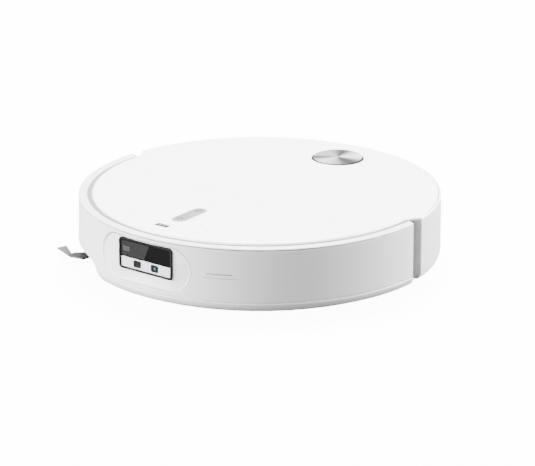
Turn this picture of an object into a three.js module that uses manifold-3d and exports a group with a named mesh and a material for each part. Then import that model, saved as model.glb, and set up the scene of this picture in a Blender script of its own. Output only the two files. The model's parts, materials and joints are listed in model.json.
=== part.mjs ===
// Robot vacuum cleaner, as an assembly of separate solids.
// Millimetres, +Z up, origin on the floor under the centre of the round body.
// The robot drives towards -Y, so its left side is +X. The pieces stand as on a hard floor:
// wheels pushed up to their stops, scanner turret down, one side brush arm reaching out to the right.
import * as THREE from "three";
import { mergeVertices } from "three/addons/utils/BufferGeometryUtils.js";
import Module from "manifold-3d";

const wasm = await Module();
wasm.setup();

// ---------- driving dimensions ----------
const BODY_R = 175; // outer wall of the bumper and the rear shell
const WALL = 2.4; // bumper and shell wall
const GAP = 0.3; // clearance between touching pieces
const SIDES = 60; // facets of the largest circles

const BASE = { r: 166, bottom: 12, top: 15, chamfer: 2 };
const COVER = { front: 162, rear: 172, jogStart: 94, jogEnd: 101, bottom: 75.6, thickness: 2.2, hollowR: 147 };
const DOME = { top: 80.8, fall: 9e-5 }; // height of the covers at the centre, and their fall per square millimetre
const SEAM = { r: 634, y: 597.5, gap: 0.5 }; // arc between front deck and lift-off cover
const FRAME = { r: 166.2, rear: 172, wall: 2.4, bottom: 72, top: 74, seatTop: 75.2, seatR0: 149, seatR1: 155 };

const BUMPER = { endY: 12.5, skinBottom: 23.6, skinTop: 74.6 };
// The rim's ledge passes under the covers, and its inner slope stays clear of them when the bumper is pressed in.
const RIM = { ledgeR: 159.5, ledgeBottom: 74.4, ledgeTop: 75.2, footR: 165.2, crestR: 169, bottom: 74.9, top: 77.2 };
const LIP = { bottom: 15.3, top: 23.3, r: 175.5, inner: 170.9 };
const ARCH = { from: -72, to: -26, top: 31.8 }; // degrees from the front, opening for the side brush
const SHELL = { start: 99.3, bottom: 15.6, top: 76.9 };

const BEZEL = { x: -3, halfWidth: 54.3, bottom: 27.4, top: 70.4, depth: 1.5 };
const WINDOW = { halfWidth: 32.1, bottom: 38.6, top: 69.1, corner: 3.2, face: -172.4, border: 1.8, split: 50.2 };
const LENS = { x: 10.6, z: 45.5, halfWidth: 3.7, halfHeight: 3.2 };

const LIDAR = { y: 123.5, capR: 24.4, capBottom: 79.9, capTop: 81, towerR: 23.9, bottom: 50, top: 79.6 };
const BUTTONS = { y: -107, length: 40.6, width: 12, bottom: 74.4, top: 80.3, bezelTop: 80 };

const ROLLER = { y: -48, z: 25, r: 21.5, endR: 17.4, core: 12, end: 84, shaft: 4 };
const HOUSING = { x: 90, wall: 3, front: -75, rear: -21, top: 51, cavity: 23.8 };
const DUCT = { halfWidth: 30, bottom: 41, top: 48 };
const GEAR = { module: 1, x0: 91.5, x1: 96.5, rollerTeeth: 16, idlerTeeth: 26, pinionTeeth: 12 };
const BRUSH_MOTOR = { y: -86.5, z: 34, r: 10.5, x0: 48, x1: 88 };

const WHEEL = { y: 6, z: 34, r: 34, rimR: 26.5, x0: 104.5, x1: 123.5 };
const PIVOT = { y: 44, z: 50 }; // suspension pivot, also the drive motor's axis
const DRIVE = { x0: 88.5, x1: 101.5, wheelEnd: 15, pivotEnd: 14, motorR: 13, motorX: 58 };
const WELL = { x0: 103, x1: 126, y0: -30, y1: 60.5, armX: 87, armY: -14.5, wall: 1.4, top: 71.4 };

const CASTER = { y: -122, trail: 5, wheelR: 13, forkR: 19, wellR: 22, slot: 7.8 };
const BRUSH_HUB = {
  x: -105, y: -105, r: 12.5, bottom: 7.2, top: 12.6, stemR: 4, stemTop: 20, stemBottom: 12,
  pocketInner: 122, pocketTop: 29.5,
};
const BRUSH_ARM = {
  outline: [
    [6, -5], [30, -6.5], [36, -10], [46.3, -5.3], [48.2, -2.2], [71, -21.3],
    [75, -10.9], [45.2, 4.5], [41, 5.6], [36, 4.6], [26, 6], [6, 5],
  ],
  thickness: 1.4,
  rootZ: 10.2,
  droop: 0.083, // fall of the arm per millimetre away from the hub
};

const BATTERY = { x: 74, y0: -8, y1: 58, z0: 15.4, z1: 34 };
const DOOR = { x: 77.6, y0: -11.6, y1: 61.6 };
const BIN = { x: 56, y0: -18, y1: 86, z0: 38, z1: 66, wall: 2 };
const FAN = { x: 84, y: 104, r: 27, z0: 30, z1: 66, impellerR: 21 };
const BUMP_SENSOR = { x: 65, y0: -149, y1: -139, z0: 40, z1: 50 };
const BOARD = { x: 62, y0: -140, y1: -80, z0: 58, z1: 59.6 };

// ---------- solids ----------
const rad = THREE.MathUtils.degToRad;

// A closed three.js geometry as a manifold-3d solid, turned right side out.
function solid(geometry) {
  geometry.deleteAttribute("normal");
  geometry.deleteAttribute("uv");
  const merged = mergeVertices(geometry, 1e-4);
  const vertProperties = merged.attributes.position.array;
  const triVerts = new Uint32Array(merged.index.array);
  const made = new wasm.Manifold(new wasm.Mesh({ numProp: 3, vertProperties, triVerts }));
  if (made.volume() > 0) return made;
  for (let i = 0; i < triVerts.length; i += 3) {
    [triVerts[i + 1], triVerts[i + 2]] = [triVerts[i + 2], triVerts[i + 1]];
  }
  return new wasm.Manifold(new wasm.Mesh({ numProp: 3, vertProperties, triVerts }));
}

const join = (first, ...rest) => rest.reduce((a, b) => a.add(b), first);
const cut = (first, ...rest) => rest.reduce((a, b) => a.subtract(b), first);
const keep = (first, ...rest) => rest.reduce((a, b) => a.intersect(b), first);

function block(x0, x1, y0, y1, z0, z1) {
  const box = new THREE.BoxGeometry(x1 - x0, y1 - y0, z1 - z0);
  return solid(box.translate((x0 + x1) / 2, (y0 + y1) / 2, (z0 + z1) / 2));
}

// Upright cylinder.
function rod(r, z0, z1, x = 0, y = 0, sides = 32) {
  const cylinder = new THREE.CylinderGeometry(r, r, z1 - z0, sides);
  return solid(cylinder.rotateX(Math.PI / 2).translate(x, y, (z0 + z1) / 2));
}

// Cylinder along X.
function rodX(r, x0, x1, y, z, sides = 32) {
  const cylinder = new THREE.CylinderGeometry(r, r, x1 - x0, sides);
  return solid(cylinder.rotateZ(-Math.PI / 2).translate((x0 + x1) / 2, y, z));
}

// Solid of revolution about Z from [radius, height] pairs.
function turned(profile, sides = SIDES) {
  const points = profile.map(([r, z]) => new THREE.Vector2(r, z));
  return solid(new THREE.LatheGeometry(points, sides).rotateX(Math.PI / 2));
}

// Ring of revolution: the profile closes on itself.
const turnedRing = (profile, sides = SIDES) => turned([...profile, profile[0]], sides);

// Plate from a plan outline, between two heights.
function plate(shape, z0, z1, curveSegments = 12) {
  const settings = { depth: z1 - z0, bevelEnabled: false, curveSegments };
  return solid(new THREE.ExtrudeGeometry(shape, settings).translate(0, 0, z0));
}

// Prism along X from an outline drawn in the YZ plane.
function prismX(shape, x0, x1, curveSegments = 12) {
  const prism = new THREE.ExtrudeGeometry(shape, { depth: x1 - x0, bevelEnabled: false, curveSegments });
  return solid(prism.rotateX(Math.PI / 2).rotateZ(Math.PI / 2).translate(x0, 0, 0));
}

// Prism along Y from an outline drawn in the XZ plane.
function prismY(shape, y0, y1, curveSegments = 12) {
  const prism = new THREE.ExtrudeGeometry(shape, { depth: y1 - y0, bevelEnabled: false, curveSegments });
  return solid(prism.rotateX(Math.PI / 2).translate(0, y1, 0));
}

// Point at a radius and an angle in degrees, counted from the front (-Y) towards +X.
const polar = (r, degrees) => [r * Math.sin(rad(degrees)), -r * Math.cos(rad(degrees))];

// Plan wedge between two such angles, as a tall solid for cutting rings.
function sector(from, to, z0, z1, reach = 260) {
  const shape = new THREE.Shape([new THREE.Vector2(0, 0)]);
  const steps = Math.ceil((to - from) / 30);
  for (let i = 0; i <= steps; i++) {
    shape.lineTo(...polar(reach, from + ((to - from) * i) / steps));
  }
  return plate(shape, z0, z1);
}

// Ring section between two angles.
function ringSector(r0, r1, z0, z1, from, to) {
  const ring = turnedRing([
    [r0, z0],
    [r1, z0],
    [r1, z1],
    [r0, z1],
  ]);
  return keep(ring, sector(from, to, z0 - 1, z1 + 1));
}

const mirrorX = (made, side) => (side < 0 ? made.mirror([1, 0, 0]) : made);

// Moves every vertex of a geometry.
function reshape(geometry, move) {
  const position = geometry.attributes.position;
  const point = new THREE.Vector3();
  for (let i = 0; i < position.count; i++) {
    move(point.fromBufferAttribute(position, i));
    position.setXYZ(i, point.x, point.y, point.z);
  }
}

// Rounded rectangle centred on (u, v).
function roundedRect(u, v, halfU, halfV, r) {
  const shape = new THREE.Shape();
  shape.absarc(u + halfU - r, v + halfV - r, r, 0, Math.PI / 2);
  shape.absarc(u - halfU + r, v + halfV - r, r, Math.PI / 2, Math.PI);
  shape.absarc(u - halfU + r, v - halfV + r, r, Math.PI, 1.5 * Math.PI);
  shape.absarc(u + halfU - r, v - halfV + r, r, 1.5 * Math.PI, 2 * Math.PI);
  return shape;
}

// Outline round two circles and their common tangents.
function twoCircles(ax, ay, ar, bx, by, br) {
  const reach = Math.hypot(bx - ax, by - ay);
  const heading = Math.atan2(by - ay, bx - ax);
  const lean = Math.acos((ar - br) / reach);
  const shape = new THREE.Shape();
  shape.absarc(ax, ay, ar, heading + lean, heading - lean + 2 * Math.PI);
  shape.absarc(bx, by, br, heading - lean, heading + lean);
  return shape;
}

// ---------- nodes ----------
const robot = new THREE.Group();

function finish(color, roughness, metalness = 0) {
  return () => new THREE.MeshStandardMaterial({ color, roughness, metalness });
}

const WHITE_SATIN = finish(0xf2f2f2, 0.35);
const WHITE_MATTE = finish(0xe6e6e6, 0.6);
const GREY_PLASTIC = finish(0xa9abad, 0.55);
const BLACK_PLASTIC = finish(0x26272a, 0.5);
const BLACK_GLASS = finish(0x08090a, 0.06);
const SILVER_PANEL = finish(0xdcdedf, 0.4);
const LENS_GLASS = finish(0x3a4a55, 0.1);
const BRUSHED_METAL = finish(0xb9babc, 0.3, 1);
const CONTACT_METAL = finish(0xc9b98a, 0.25, 1);
const RUBBER = finish(0x2b2c2e, 0.85);
const BRISTLE_GREY = finish(0x77797c, 0.8);
const CIRCUIT_GREEN = finish(0x1f5a3a, 0.5);
const FILTER_PAPER = finish(0xe8e6dd, 0.95);
const BUTTON_GREY = finish(0xc3c6c9, 0.25);
const BATTERY_BLUE = finish(0x2c4a74, 0.5);
const MOTOR_STEEL = finish(0x9a9c9e, 0.35, 1);
const GEAR_NYLON = finish(0xe9e7df, 0.5);
const SMOKED_PLASTIC = finish(0x4a4c50, 0.2);

function add(name, made, material, parent = robot) {
  const { vertProperties, triVerts } = made.getMesh();
  const geometry = new THREE.BufferGeometry();
  geometry.setAttribute("position", new THREE.BufferAttribute(vertProperties, 3));
  geometry.setIndex(new THREE.BufferAttribute(triVerts, 1));
  geometry.computeVertexNormals();
  const mesh = new THREE.Mesh(geometry, material());
  mesh.name = name;
  parent.add(mesh);
  return mesh;
}

// ---------- outlines of the top ----------
// The cover is narrower inside the bumper and steps out to the rear shell behind it.
function coverRadius(degrees) {
  const turn = Math.abs(degrees);
  const t = THREE.MathUtils.smoothstep(turn, COVER.jogStart, COVER.jogEnd);
  return THREE.MathUtils.lerp(COVER.front, COVER.rear, t);
}

function coverOutline(inset = 0) {
  const points = [];
  for (let i = 0; i < SIDES; i++) {
    const turn = -180 + (360 * i) / SIDES;
    const inJog = Math.abs(Math.abs(turn) - (COVER.jogStart + COVER.jogEnd) / 2) < 6;
    const parts = inJog ? 3 : 1;
    for (let k = 0; k < parts; k++) {
      const at = turn + (k * 360) / SIDES / parts;
      points.push(new THREE.Vector2(...polar(coverRadius(at) - inset, at)));
    }
  }
  return new THREE.Shape(points);
}

// Gently domed cover, thicker round its edge where it rests on the frame.
function coverPlate() {
  const dome = (r) => DOME.top - DOME.fall * r * r;
  const top = [COVER.rear + 1, 150, 120, 80, 40, 0].map((r) => [r, dome(r)]);
  const under = [0, COVER.hollowR].map((r) => [r, dome(r) - COVER.thickness]);
  const plate = turned([...under, [COVER.hollowR, COVER.bottom], [COVER.rear + 1, COVER.bottom], ...top]);
  const outline = new THREE.ExtrudeGeometry(coverOutline(), { depth: 10, bevelEnabled: false });
  return keep(plate, solid(outline.translate(0, 0, COVER.bottom - 1)));
}

const seamDisc = (r) => rod(r, COVER.bottom - 1, DOME.top + 1, 0, SEAM.y, 3 * SIDES);

// Capsule along Y, centred on the buttons.
function buttonCapsule(grow, z0, z1) {
  const half = BUTTONS.width / 2 + grow;
  return plate(roundedRect(0, BUTTONS.y, half, BUTTONS.length / 2 + grow, half - 0.01), z0, z1, 5);
}

// ---------- top ----------
function frontDeck() {
  const micRing = 29;
  const mics = [0, 120, 240].map((turn) => {
    const [x, y] = polar(micRing, 180 + turn);
    return rod(0.9, COVER.bottom - 1, DOME.top + 1, x, BUTTONS.y + y, 8);
  });
  const hole = buttonCapsule(1.6, COVER.bottom - 1, DOME.top + 1);
  return cut(coverPlate(), seamDisc(SEAM.r), hole, ...mics);
}

function rearCover() {
  const turretHole = rod(LIDAR.capR + 0.8, COVER.bottom - 1, DOME.top + 1, 0, LIDAR.y, 36);
  return cut(keep(coverPlate(), seamDisc(SEAM.r - SEAM.gap)), turretHole);
}

// Upper frame: a plate under the covers and a wall behind the bumper.
function upperFrame() {
  const inner = FRAME.r - FRAME.wall;
  const sensorSlot = block(56, 74, -FRAME.r, -140, 38, 52);
  const wall = cut(
    ringSector(inner, FRAME.r, LIP.bottom, FRAME.bottom + 1, -101.5, 101.5),
    block(-34, 34, -FRAME.r - 5, -140, 34, FRAME.bottom - 1),
    sensorSlot,
    mirrorX(sensorSlot, -1),
    sector(ARCH.from, ARCH.to, 0, ARCH.top),
  );
  const frontHalf = keep(rod(FRAME.r, FRAME.bottom, FRAME.top, 0, 0, SIDES), sector(-101, 101, 70, 80));
  const rearHalf = keep(rod(FRAME.rear, FRAME.bottom, FRAME.top, 0, 0, SIDES), sector(100.9, 259.1, 70, 80));
  const seat = ringSector(FRAME.seatR0, FRAME.seatR1, FRAME.top - 0.5, FRAME.seatTop, 0, 360);
  return cut(
    join(frontHalf, rearHalf, wall, seat),
    block(-BIN.x - 1.5, BIN.x + 1.5, BIN.y0 - 1.5, BIN.y1 + 1.5, 70, 80),
    rod(LIDAR.towerR + 2, 70, 80, 0, LIDAR.y, 32),
    buttonCapsule(0.8, 70, 80),
  );
}

function buttonBezel() {
  return cut(buttonCapsule(1.2, BUTTONS.bottom, BUTTONS.bezelTop), buttonCapsule(0.3, BUTTONS.bottom - 1, BUTTONS.top + 1));
}

// One half of the button capsule with its plunger; side is -1 towards the front.
function button(side) {
  const edge = side < 0 ? [-40, -GAP] : [GAP, 40];
  const half = block(-10, 10, BUTTONS.y + edge[0], BUTTONS.y + edge[1], 60, 90);
  const plunger = rod(2, 64, BUTTONS.bottom + 1, 0, BUTTONS.y + side * 11, 12);
  return join(keep(buttonCapsule(-0.1, BUTTONS.bottom, BUTTONS.top), half), plunger);
}

// ---------- bumper ----------
const insideBumper = (z0, z1) => block(-200, 200, -200, BUMPER.endY, z0, z1);

const stadium = (inset) => {
  const half = (BEZEL.top - BEZEL.bottom) / 2 - inset;
  return roundedRect(BEZEL.x, (BEZEL.top + BEZEL.bottom) / 2, BEZEL.halfWidth - inset, half, half - 0.01);
};

// Wall window on the right side, for the sensor that follows walls.
const wallWindow = (grow) => sector(-88 - grow, -81 + grow, 40 - grow, 56 + grow);

// Skin with a blade on each side that enters the bump sensor behind it.
function bumperSkin() {
  const ring = ringSector(BODY_R - WALL, BODY_R, BUMPER.skinBottom, BUMPER.skinTop, 0, 360);
  const blade = block(BUMP_SENSOR.x - 1, BUMP_SENSOR.x + 1, -161.5, BUMP_SENSOR.y0 + 2, 42, 48);
  const skin = cut(
    keep(ring, insideBumper(0, 90)),
    prismY(stadium(-GAP), -180, -150, 6),
    sector(ARCH.from, ARCH.to, 0, ARCH.top),
    wallWindow(0.15),
  );
  return join(skin, blade, mirrorX(blade, -1));
}

function bumperRim() {
  const ring = turnedRing([
    [RIM.ledgeR, RIM.ledgeBottom],
    [BODY_R - WALL - 1.5, RIM.ledgeBottom],
    [BODY_R - WALL - 1, RIM.bottom],
    [BODY_R, RIM.bottom],
    [BODY_R, 75.5],
    [174.2, 76.6],
    [172, RIM.top],
    [RIM.crestR, RIM.top],
    [RIM.footR, RIM.ledgeTop],
    [RIM.ledgeR, RIM.ledgeTop],
  ]);
  return keep(ring, insideBumper(70, 80));
}

// Lower edge of the bumper between two angles; the side brush's opening divides it in two.
function bumperLip(from, to) {
  const ring = turnedRing([
    [LIP.inner, LIP.bottom],
    [172, LIP.bottom],
    [174.4, 17.4],
    [LIP.r, 20.6],
    [LIP.r, 22.6],
    [174.9, LIP.top],
    [LIP.inner, LIP.top],
  ]);
  return keep(ring, insideBumper(0, 30), sector(from, to, 0, 40));
}

function sensorBezel() {
  const outer = BODY_R - BEZEL.depth;
  const ring = ringSector(outer - 3, outer, 20, 80, -30, 30);
  return cut(keep(ring, prismY(stadium(0), -180, -150, 6)), windowPlate(GAP, -190, -150));
}

function windowPlate(grow, y0, y1) {
  const halfHeight = (WINDOW.top - WINDOW.bottom) / 2 + grow;
  const middle = (WINDOW.top + WINDOW.bottom) / 2;
  return prismY(roundedRect(0, middle, WINDOW.halfWidth + grow, halfHeight, WINDOW.corner), y0, y1, 3);
}

const windowInside = () => windowPlate(-WINDOW.border, -190, -150);

function windowFrame() {
  return cut(windowPlate(0, WINDOW.face, WINDOW.face + 2.6), windowInside());
}

function windowPane(z0, z1) {
  const body = windowPlate(-WINDOW.border - GAP, WINDOW.face + 0.2, WINDOW.face + 2.2);
  return keep(body, block(-40, 40, -180, -160, z0, z1));
}

function lens(x, grow, y0, y1) {
  const outline = roundedRect(x, LENS.z, LENS.halfWidth + grow, LENS.halfHeight + grow, 1.2);
  return prismY(outline, y0, y1, 3);
}

function lowerPanel() {
  const holes = [-LENS.x, LENS.x].map((x) => lens(x, GAP, -180, -160));
  return cut(windowPane(WINDOW.bottom, WINDOW.split), ...holes);
}

function cameraModule() {
  return join(
    block(-28, 28, -163, -150, 41, 66),
    block(-20, 20, -158, -152, 65, FRAME.bottom - GAP),
    prismY(roundedRect(-LENS.x, LENS.z, 3, 3, 1.5), -165.5, -162, 4),
    prismY(roundedRect(LENS.x, LENS.z, 3, 3, 1.5), -165.5, -162, 4),
  );
}

const wallSensorWindow = () => ringSector(BODY_R - 2, BODY_R - 0.1, 40, 56, -88, -81);

// Light barrier: a block with a slot for the bumper's blade.
function bumpSensor(side) {
  const { x, y0, y1, z0, z1 } = BUMP_SENSOR;
  return mirrorX(cut(block(x - 8, x + 8, y0, y1, z0, z1), block(x - 1.4, x + 1.4, y0 - 1, y1 - 3, 30, 60)), side);
}

// Board hung under the upper frame, with the two button switches and its largest chips.
function circuitBoard() {
  const { x, y0, y1, z0, z1 } = BOARD;
  const made = [block(-x, x, y0, y1, z0, z1)];
  for (const side of [-1, 1]) {
    made.push(block(-3, 3, BUTTONS.y + side * 11 - 3, BUTTONS.y + side * 11 + 3, z1 - 0.5, 62.6));
    for (const y of [y0 + 6, y1 - 6]) made.push(rod(3, z1 - 0.5, FRAME.bottom - GAP, side * (x - 6), y, 12));
    made.push(block(side * 35 - 10, side * 35 + 10, -122, -102, z1 - 0.5, 61.6));
  }
  return join(...made);
}

// ---------- rear shell ----------
function sideShell() {
  const inner = BODY_R - WALL;
  const ring = turnedRing([
    [BASE.r + 0.6, SHELL.bottom],
    [170.5, SHELL.bottom],
    [173.4, 17.6],
    [BODY_R, 21],
    [BODY_R, SHELL.top - 1.6],
    [174.2, SHELL.top - 0.4],
    [173.4, SHELL.top],
    [inner, SHELL.top],
    [inner, 22],
    [170.6, 18.2],
    [BASE.r + 0.6, 17.4],
  ]);
  const slots = [];
  for (let turn = 143; turn <= 158; turn += 2.5) slots.push(sector(turn, turn + 1, 34, 60));
  const contacts = [1, -1].map((side) => contactBlock(side, 0.3));
  const end = ringSector(FRAME.r + 0.5, inner + 0.5, 18, FRAME.bottom - GAP, SHELL.start, SHELL.start + 1.2);
  const ends = join(end, mirrorX(end, -1));
  return cut(join(keep(ring, sector(SHELL.start, 360 - SHELL.start, 0, 90)), ends), ...slots, ...contacts);
}

function contactBlock(side, grow) {
  const edges = [27 - grow, 39 + grow].map((x) => side * x).sort((a, b) => a - b);
  return block(...edges, 150, 190, 26 - grow, 44 + grow);
}

function chargeContact(side) {
  return keep(ringSector(BODY_R - 2, BODY_R + 0.3, 20, 50, 0, 360), contactBlock(side, 0));
}

// ---------- base ----------
function wheelOpening(z0, z1, grow = 0) {
  const wheel = block(WELL.x0 - grow, WELL.x1 + grow, WELL.y0 - grow, WELL.y1 + grow, z0, z1);
  const arm = block(WELL.armX - grow, WELL.x0 + 1, WELL.armY - grow, WELL.y1 + grow, z0, z1);
  return join(wheel, arm);
}

const CLIFFS = [
  ["cliff_sensor_front_left", 48, -146],
  ["cliff_sensor_front_right", -48, -146],
  ["cliff_sensor_side_left", 143, -8],
  ["cliff_sensor_side_right", -143, -8],
];

const cliffBlock = (x, y, grow, z0, z1) => block(x - 8 - grow, x + 8 + grow, y - 4 - grow, y + 4 + grow, z0, z1);

function baseTray() {
  const disc = turned([
    [0, BASE.bottom],
    [BASE.r - BASE.chamfer, BASE.bottom],
    [BASE.r, BASE.bottom + BASE.chamfer],
    [BASE.r, BASE.top],
    [0, BASE.top],
  ]);
  const casterCup = join(
    rod(CASTER.wellR + 2.5, BASE.bottom + 1, 36, 0, CASTER.y, 36),
    rod(9, 35, 45, 0, CASTER.y, 24),
  );
  const casterRoom = join(
    rod(CASTER.wellR, 0, 34, 0, CASTER.y, 36),
    rod(5.4, 30, 50, 0, CASTER.y, 24),
  );
  const { pocketInner, pocketTop } = BRUSH_HUB;
  const pocket = ringSector(pocketInner - 2, BASE.r - 0.8, 13, ARCH.top - GAP, ARCH.from + 1, ARCH.to - 1);
  const pocketRoom = join(
    ringSector(pocketInner, BASE.r + 9, 0, pocketTop, ARCH.from + 2, ARCH.to - 2),
    rod(5.6, 20, 40, BRUSH_HUB.x, BRUSH_HUB.y, 20),
  );
  const openings = [
    wheelOpening(0, 40),
    mirrorX(wheelOpening(0, 40), -1),
    block(-87, 87, ROLLER.y - HOUSING.cavity, ROLLER.y + HOUSING.cavity, 0, 40),
    block(-DOOR.x - GAP, DOOR.x + GAP, DOOR.y0 - GAP, DOOR.y1 + GAP, 0, 40),
    ...CLIFFS.map(([, x, y]) => cliffBlock(x, y, GAP, 0, 30)),
  ];
  return cut(join(disc, casterCup, pocket), casterRoom, pocketRoom, ...openings);
}

function batteryDoor() {
  const panel = block(-DOOR.x, DOOR.x, DOOR.y0, DOOR.y1, BASE.bottom, BASE.top);
  return cut(panel, block(-BATTERY.x, BATTERY.x, BATTERY.y0, BATTERY.y1, BASE.top - 0.8, 20));
}

// Eight round cells side by side in one wrapped pack.
function batteryPack() {
  const cells = 8;
  const width = (2 * BATTERY.x) / cells;
  const r = width / 2;
  const middle = (BATTERY.z0 + BATTERY.z1) / 2;
  const wrap = block(-BATTERY.x + r, BATTERY.x - r, BATTERY.y0, BATTERY.y1, middle - 5, middle + 5);
  const made = [wrap];
  for (let i = 0; i < cells; i++) {
    const cell = new THREE.CylinderGeometry(r, r, BATTERY.y1 - BATTERY.y0, 12);
    const x = -BATTERY.x + r + i * width;
    made.push(solid(cell.translate(x, (BATTERY.y0 + BATTERY.y1) / 2, middle)));
  }
  return join(...made);
}

// ---------- main brush ----------
function brushHousing() {
  const body = block(-HOUSING.x, HOUSING.x, HOUSING.front, HOUSING.rear, BASE.top + GAP, HOUSING.top);
  const inside = HOUSING.x - HOUSING.wall;
  const idler = idlerAxis();
  const shell = cut(
    body,
    rodX(HOUSING.cavity, -inside, inside, ROLLER.y, ROLLER.z, 40),
    block(-inside, inside, ROLLER.y - HOUSING.cavity, ROLLER.y + HOUSING.cavity, 0, ROLLER.z),
    block(-DUCT.halfWidth, DUCT.halfWidth, ROLLER.y, HOUSING.rear + 1, DUCT.bottom, DUCT.top),
    rodX(ROLLER.shaft + 0.4, -HOUSING.x - 1, HOUSING.x + 1, ROLLER.y, ROLLER.z, 24),
  );
  return join(shell, rodX(2.5, HOUSING.x - 1, GEAR.x1 + 0.5, idler.y, idler.z, 16));
}

function brushGuard() {
  const outer = roundedRect(0, (HOUSING.front + HOUSING.rear) / 2, 94, 31, 6);
  const mouth = roundedRect(0, ROLLER.y, 85.5, HOUSING.cavity - 1.5, 4);
  return cut(plate(outer, 10, BASE.bottom - GAP, 4), plate(mouth, 0, 20, 4));
}

// Half roller with twisted fins, thinner at its outer end, lying along X from the middle outwards.
function rollerHalf(shaftEnd) {
  const fins = 5;
  const twist = 100;
  const finShape = [[ROLLER.core, -22], [ROLLER.core, -8], [ROLLER.r, -3.5], [ROLLER.r, 3.5], [ROLLER.core, 8]];
  const outline = [];
  for (let i = 0; i < fins; i++) {
    for (const [r, turn] of finShape) outline.push(new THREE.Vector2(...polar(r, (360 / fins) * i + turn)));
  }
  const x0 = 1;
  const length = ROLLER.end - x0;
  const settings = { depth: length, steps: 6, bevelEnabled: false };
  const made = new THREE.ExtrudeGeometry(new THREE.Shape(outline), settings);
  const axis = new THREE.Vector3(0, 0, 1);
  reshape(made, (point) => {
    const along = point.z / length;
    const taper = THREE.MathUtils.lerp(1, ROLLER.endR / ROLLER.r, Math.max(0, (along - 0.12) / 0.88));
    point.applyAxisAngle(axis, rad(twist * along));
    point.set(point.x * taper, point.y * taper, point.z);
  });
  const half = solid(made.rotateX(Math.PI / 2).rotateZ(Math.PI / 2).translate(x0, 0, 0));
  return join(half, rodX(ROLLER.shaft, ROLLER.end - 1, shaftEnd, 0, 0, 20));
}

// The half rollers meet in the middle: a spigot on the right one enters the left one, which carries the gear.
function leftRoller() {
  const { y, z } = idlerAxis();
  const heading = Math.atan2(z - ROLLER.z, y - ROLLER.y);
  return join(
    cut(rollerHalf(GEAR.x1 + 1), rodX(5.3, -1, 12, 0, 0, 20)),
    gear(GEAR.rollerTeeth, 0, heading),
  );
}

function rightRoller() {
  return join(mirrorX(rollerHalf(HOUSING.x - 0.5), -1), rodX(5, -2, 11, 0, 0, 20));
}

// Where the idler gear turns, between the roller's gear and the motor's pinion.
function idlerAxis() {
  const rollerToIdler = (GEAR.module * (GEAR.rollerTeeth + GEAR.idlerTeeth)) / 2;
  const idlerToPinion = (GEAR.module * (GEAR.idlerTeeth + GEAR.pinionTeeth)) / 2;
  const dy = BRUSH_MOTOR.y - ROLLER.y;
  const dz = BRUSH_MOTOR.z - ROLLER.z;
  const reach = Math.hypot(dy, dz);
  const along = (rollerToIdler ** 2 - idlerToPinion ** 2 + reach ** 2) / (2 * reach);
  const off = Math.sqrt(rollerToIdler ** 2 - along ** 2);
  return {
    y: ROLLER.y + (dy * along - dz * -off) / reach,
    z: ROLLER.z + (dz * along - dy * off) / reach,
  };
}

// Spur gear about X with straight-sided teeth, one of them centred on the heading in the YZ plane.
function gear(teeth, bore, heading) {
  const pitchR = (GEAR.module * teeth) / 2;
  const tip = pitchR + 0.8 * GEAR.module;
  const root = pitchR - 1.15 * GEAR.module;
  const pitch = (2 * Math.PI) / teeth;
  const flank = [[root, -0.34], [tip, -0.09], [tip, 0.09], [root, 0.34]];
  const points = [];
  for (let i = 0; i < teeth; i++) {
    for (const [r, share] of flank) {
      const at = heading + (i + share) * pitch;
      points.push(new THREE.Vector2(r * Math.cos(at), r * Math.sin(at)));
    }
  }
  const blank = prismX(new THREE.Shape(points), GEAR.x0, GEAR.x1);
  return bore > 0 ? cut(blank, rodX(bore, GEAR.x0 - 1, GEAR.x1 + 1, 0, 0, 20)) : blank;
}

// Headings that let the idler mesh with the roller's gear and the pinion with the idler.
function meshHeadings() {
  const idler = idlerAxis();
  const idlerPitch = (2 * Math.PI) / GEAR.idlerTeeth;
  const pinionPitch = (2 * Math.PI) / GEAR.pinionTeeth;
  const toRoller = Math.atan2(ROLLER.z - idler.z, ROLLER.y - idler.y);
  const toPinion = Math.atan2(BRUSH_MOTOR.z - idler.z, BRUSH_MOTOR.y - idler.y);
  const idlerHeading = toRoller + idlerPitch / 2;
  const phase = (toPinion - idlerHeading) / idlerPitch;
  return { idler: idlerHeading, pinion: toPinion + Math.PI + (phase + 0.5) * pinionPitch };
}

const idlerGear = () => gear(GEAR.idlerTeeth, 2.9, meshHeadings().idler);

function motorPinion() {
  return join(gear(GEAR.pinionTeeth, 0, meshHeadings().pinion), rodX(2, BRUSH_MOTOR.x1 - 3, GEAR.x1, 0, 0, 12));
}

function brushMotor() {
  const { x0, x1, y, z, r } = BRUSH_MOTOR;
  const can = join(rodX(r, x0, x1, y, z, 28), rodX(4, x0 - 3, x0 + 1, y, z, 16));
  const foot = block(x0 + 10, x1 - 10, y - 6, y + 6, BASE.top + GAP, z - 6);
  return cut(join(can, foot), rodX(2.4, x1 - 4, x1 + 1, y, z, 12));
}

// Cap over the gear train, open towards the housing and the base.
function gearCover() {
  const outer = block(HOUSING.x + GAP, 100, -101, -36, BASE.top + GAP, HOUSING.top);
  return cut(outer, block(HOUSING.x - 1, 98, -99, -38, 10, HOUSING.top - 2));
}

// ---------- dust bin and fan ----------
function dustbin() {
  const inside = BIN.x - BIN.wall;
  return cut(
    block(-BIN.x, BIN.x, BIN.y0, BIN.y1, BIN.z0, BIN.z1),
    block(-inside, inside, BIN.y0 + BIN.wall, BIN.y1 - BIN.wall, BIN.z0 + BIN.wall, BIN.z1 + 1),
    block(-DUCT.halfWidth, DUCT.halfWidth, BIN.y0 - 1, BIN.y0 + 4, DUCT.bottom, DUCT.top),
    block(inside - 1, BIN.x + 1, 66, 82, 46, 60),
  );
}

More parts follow.
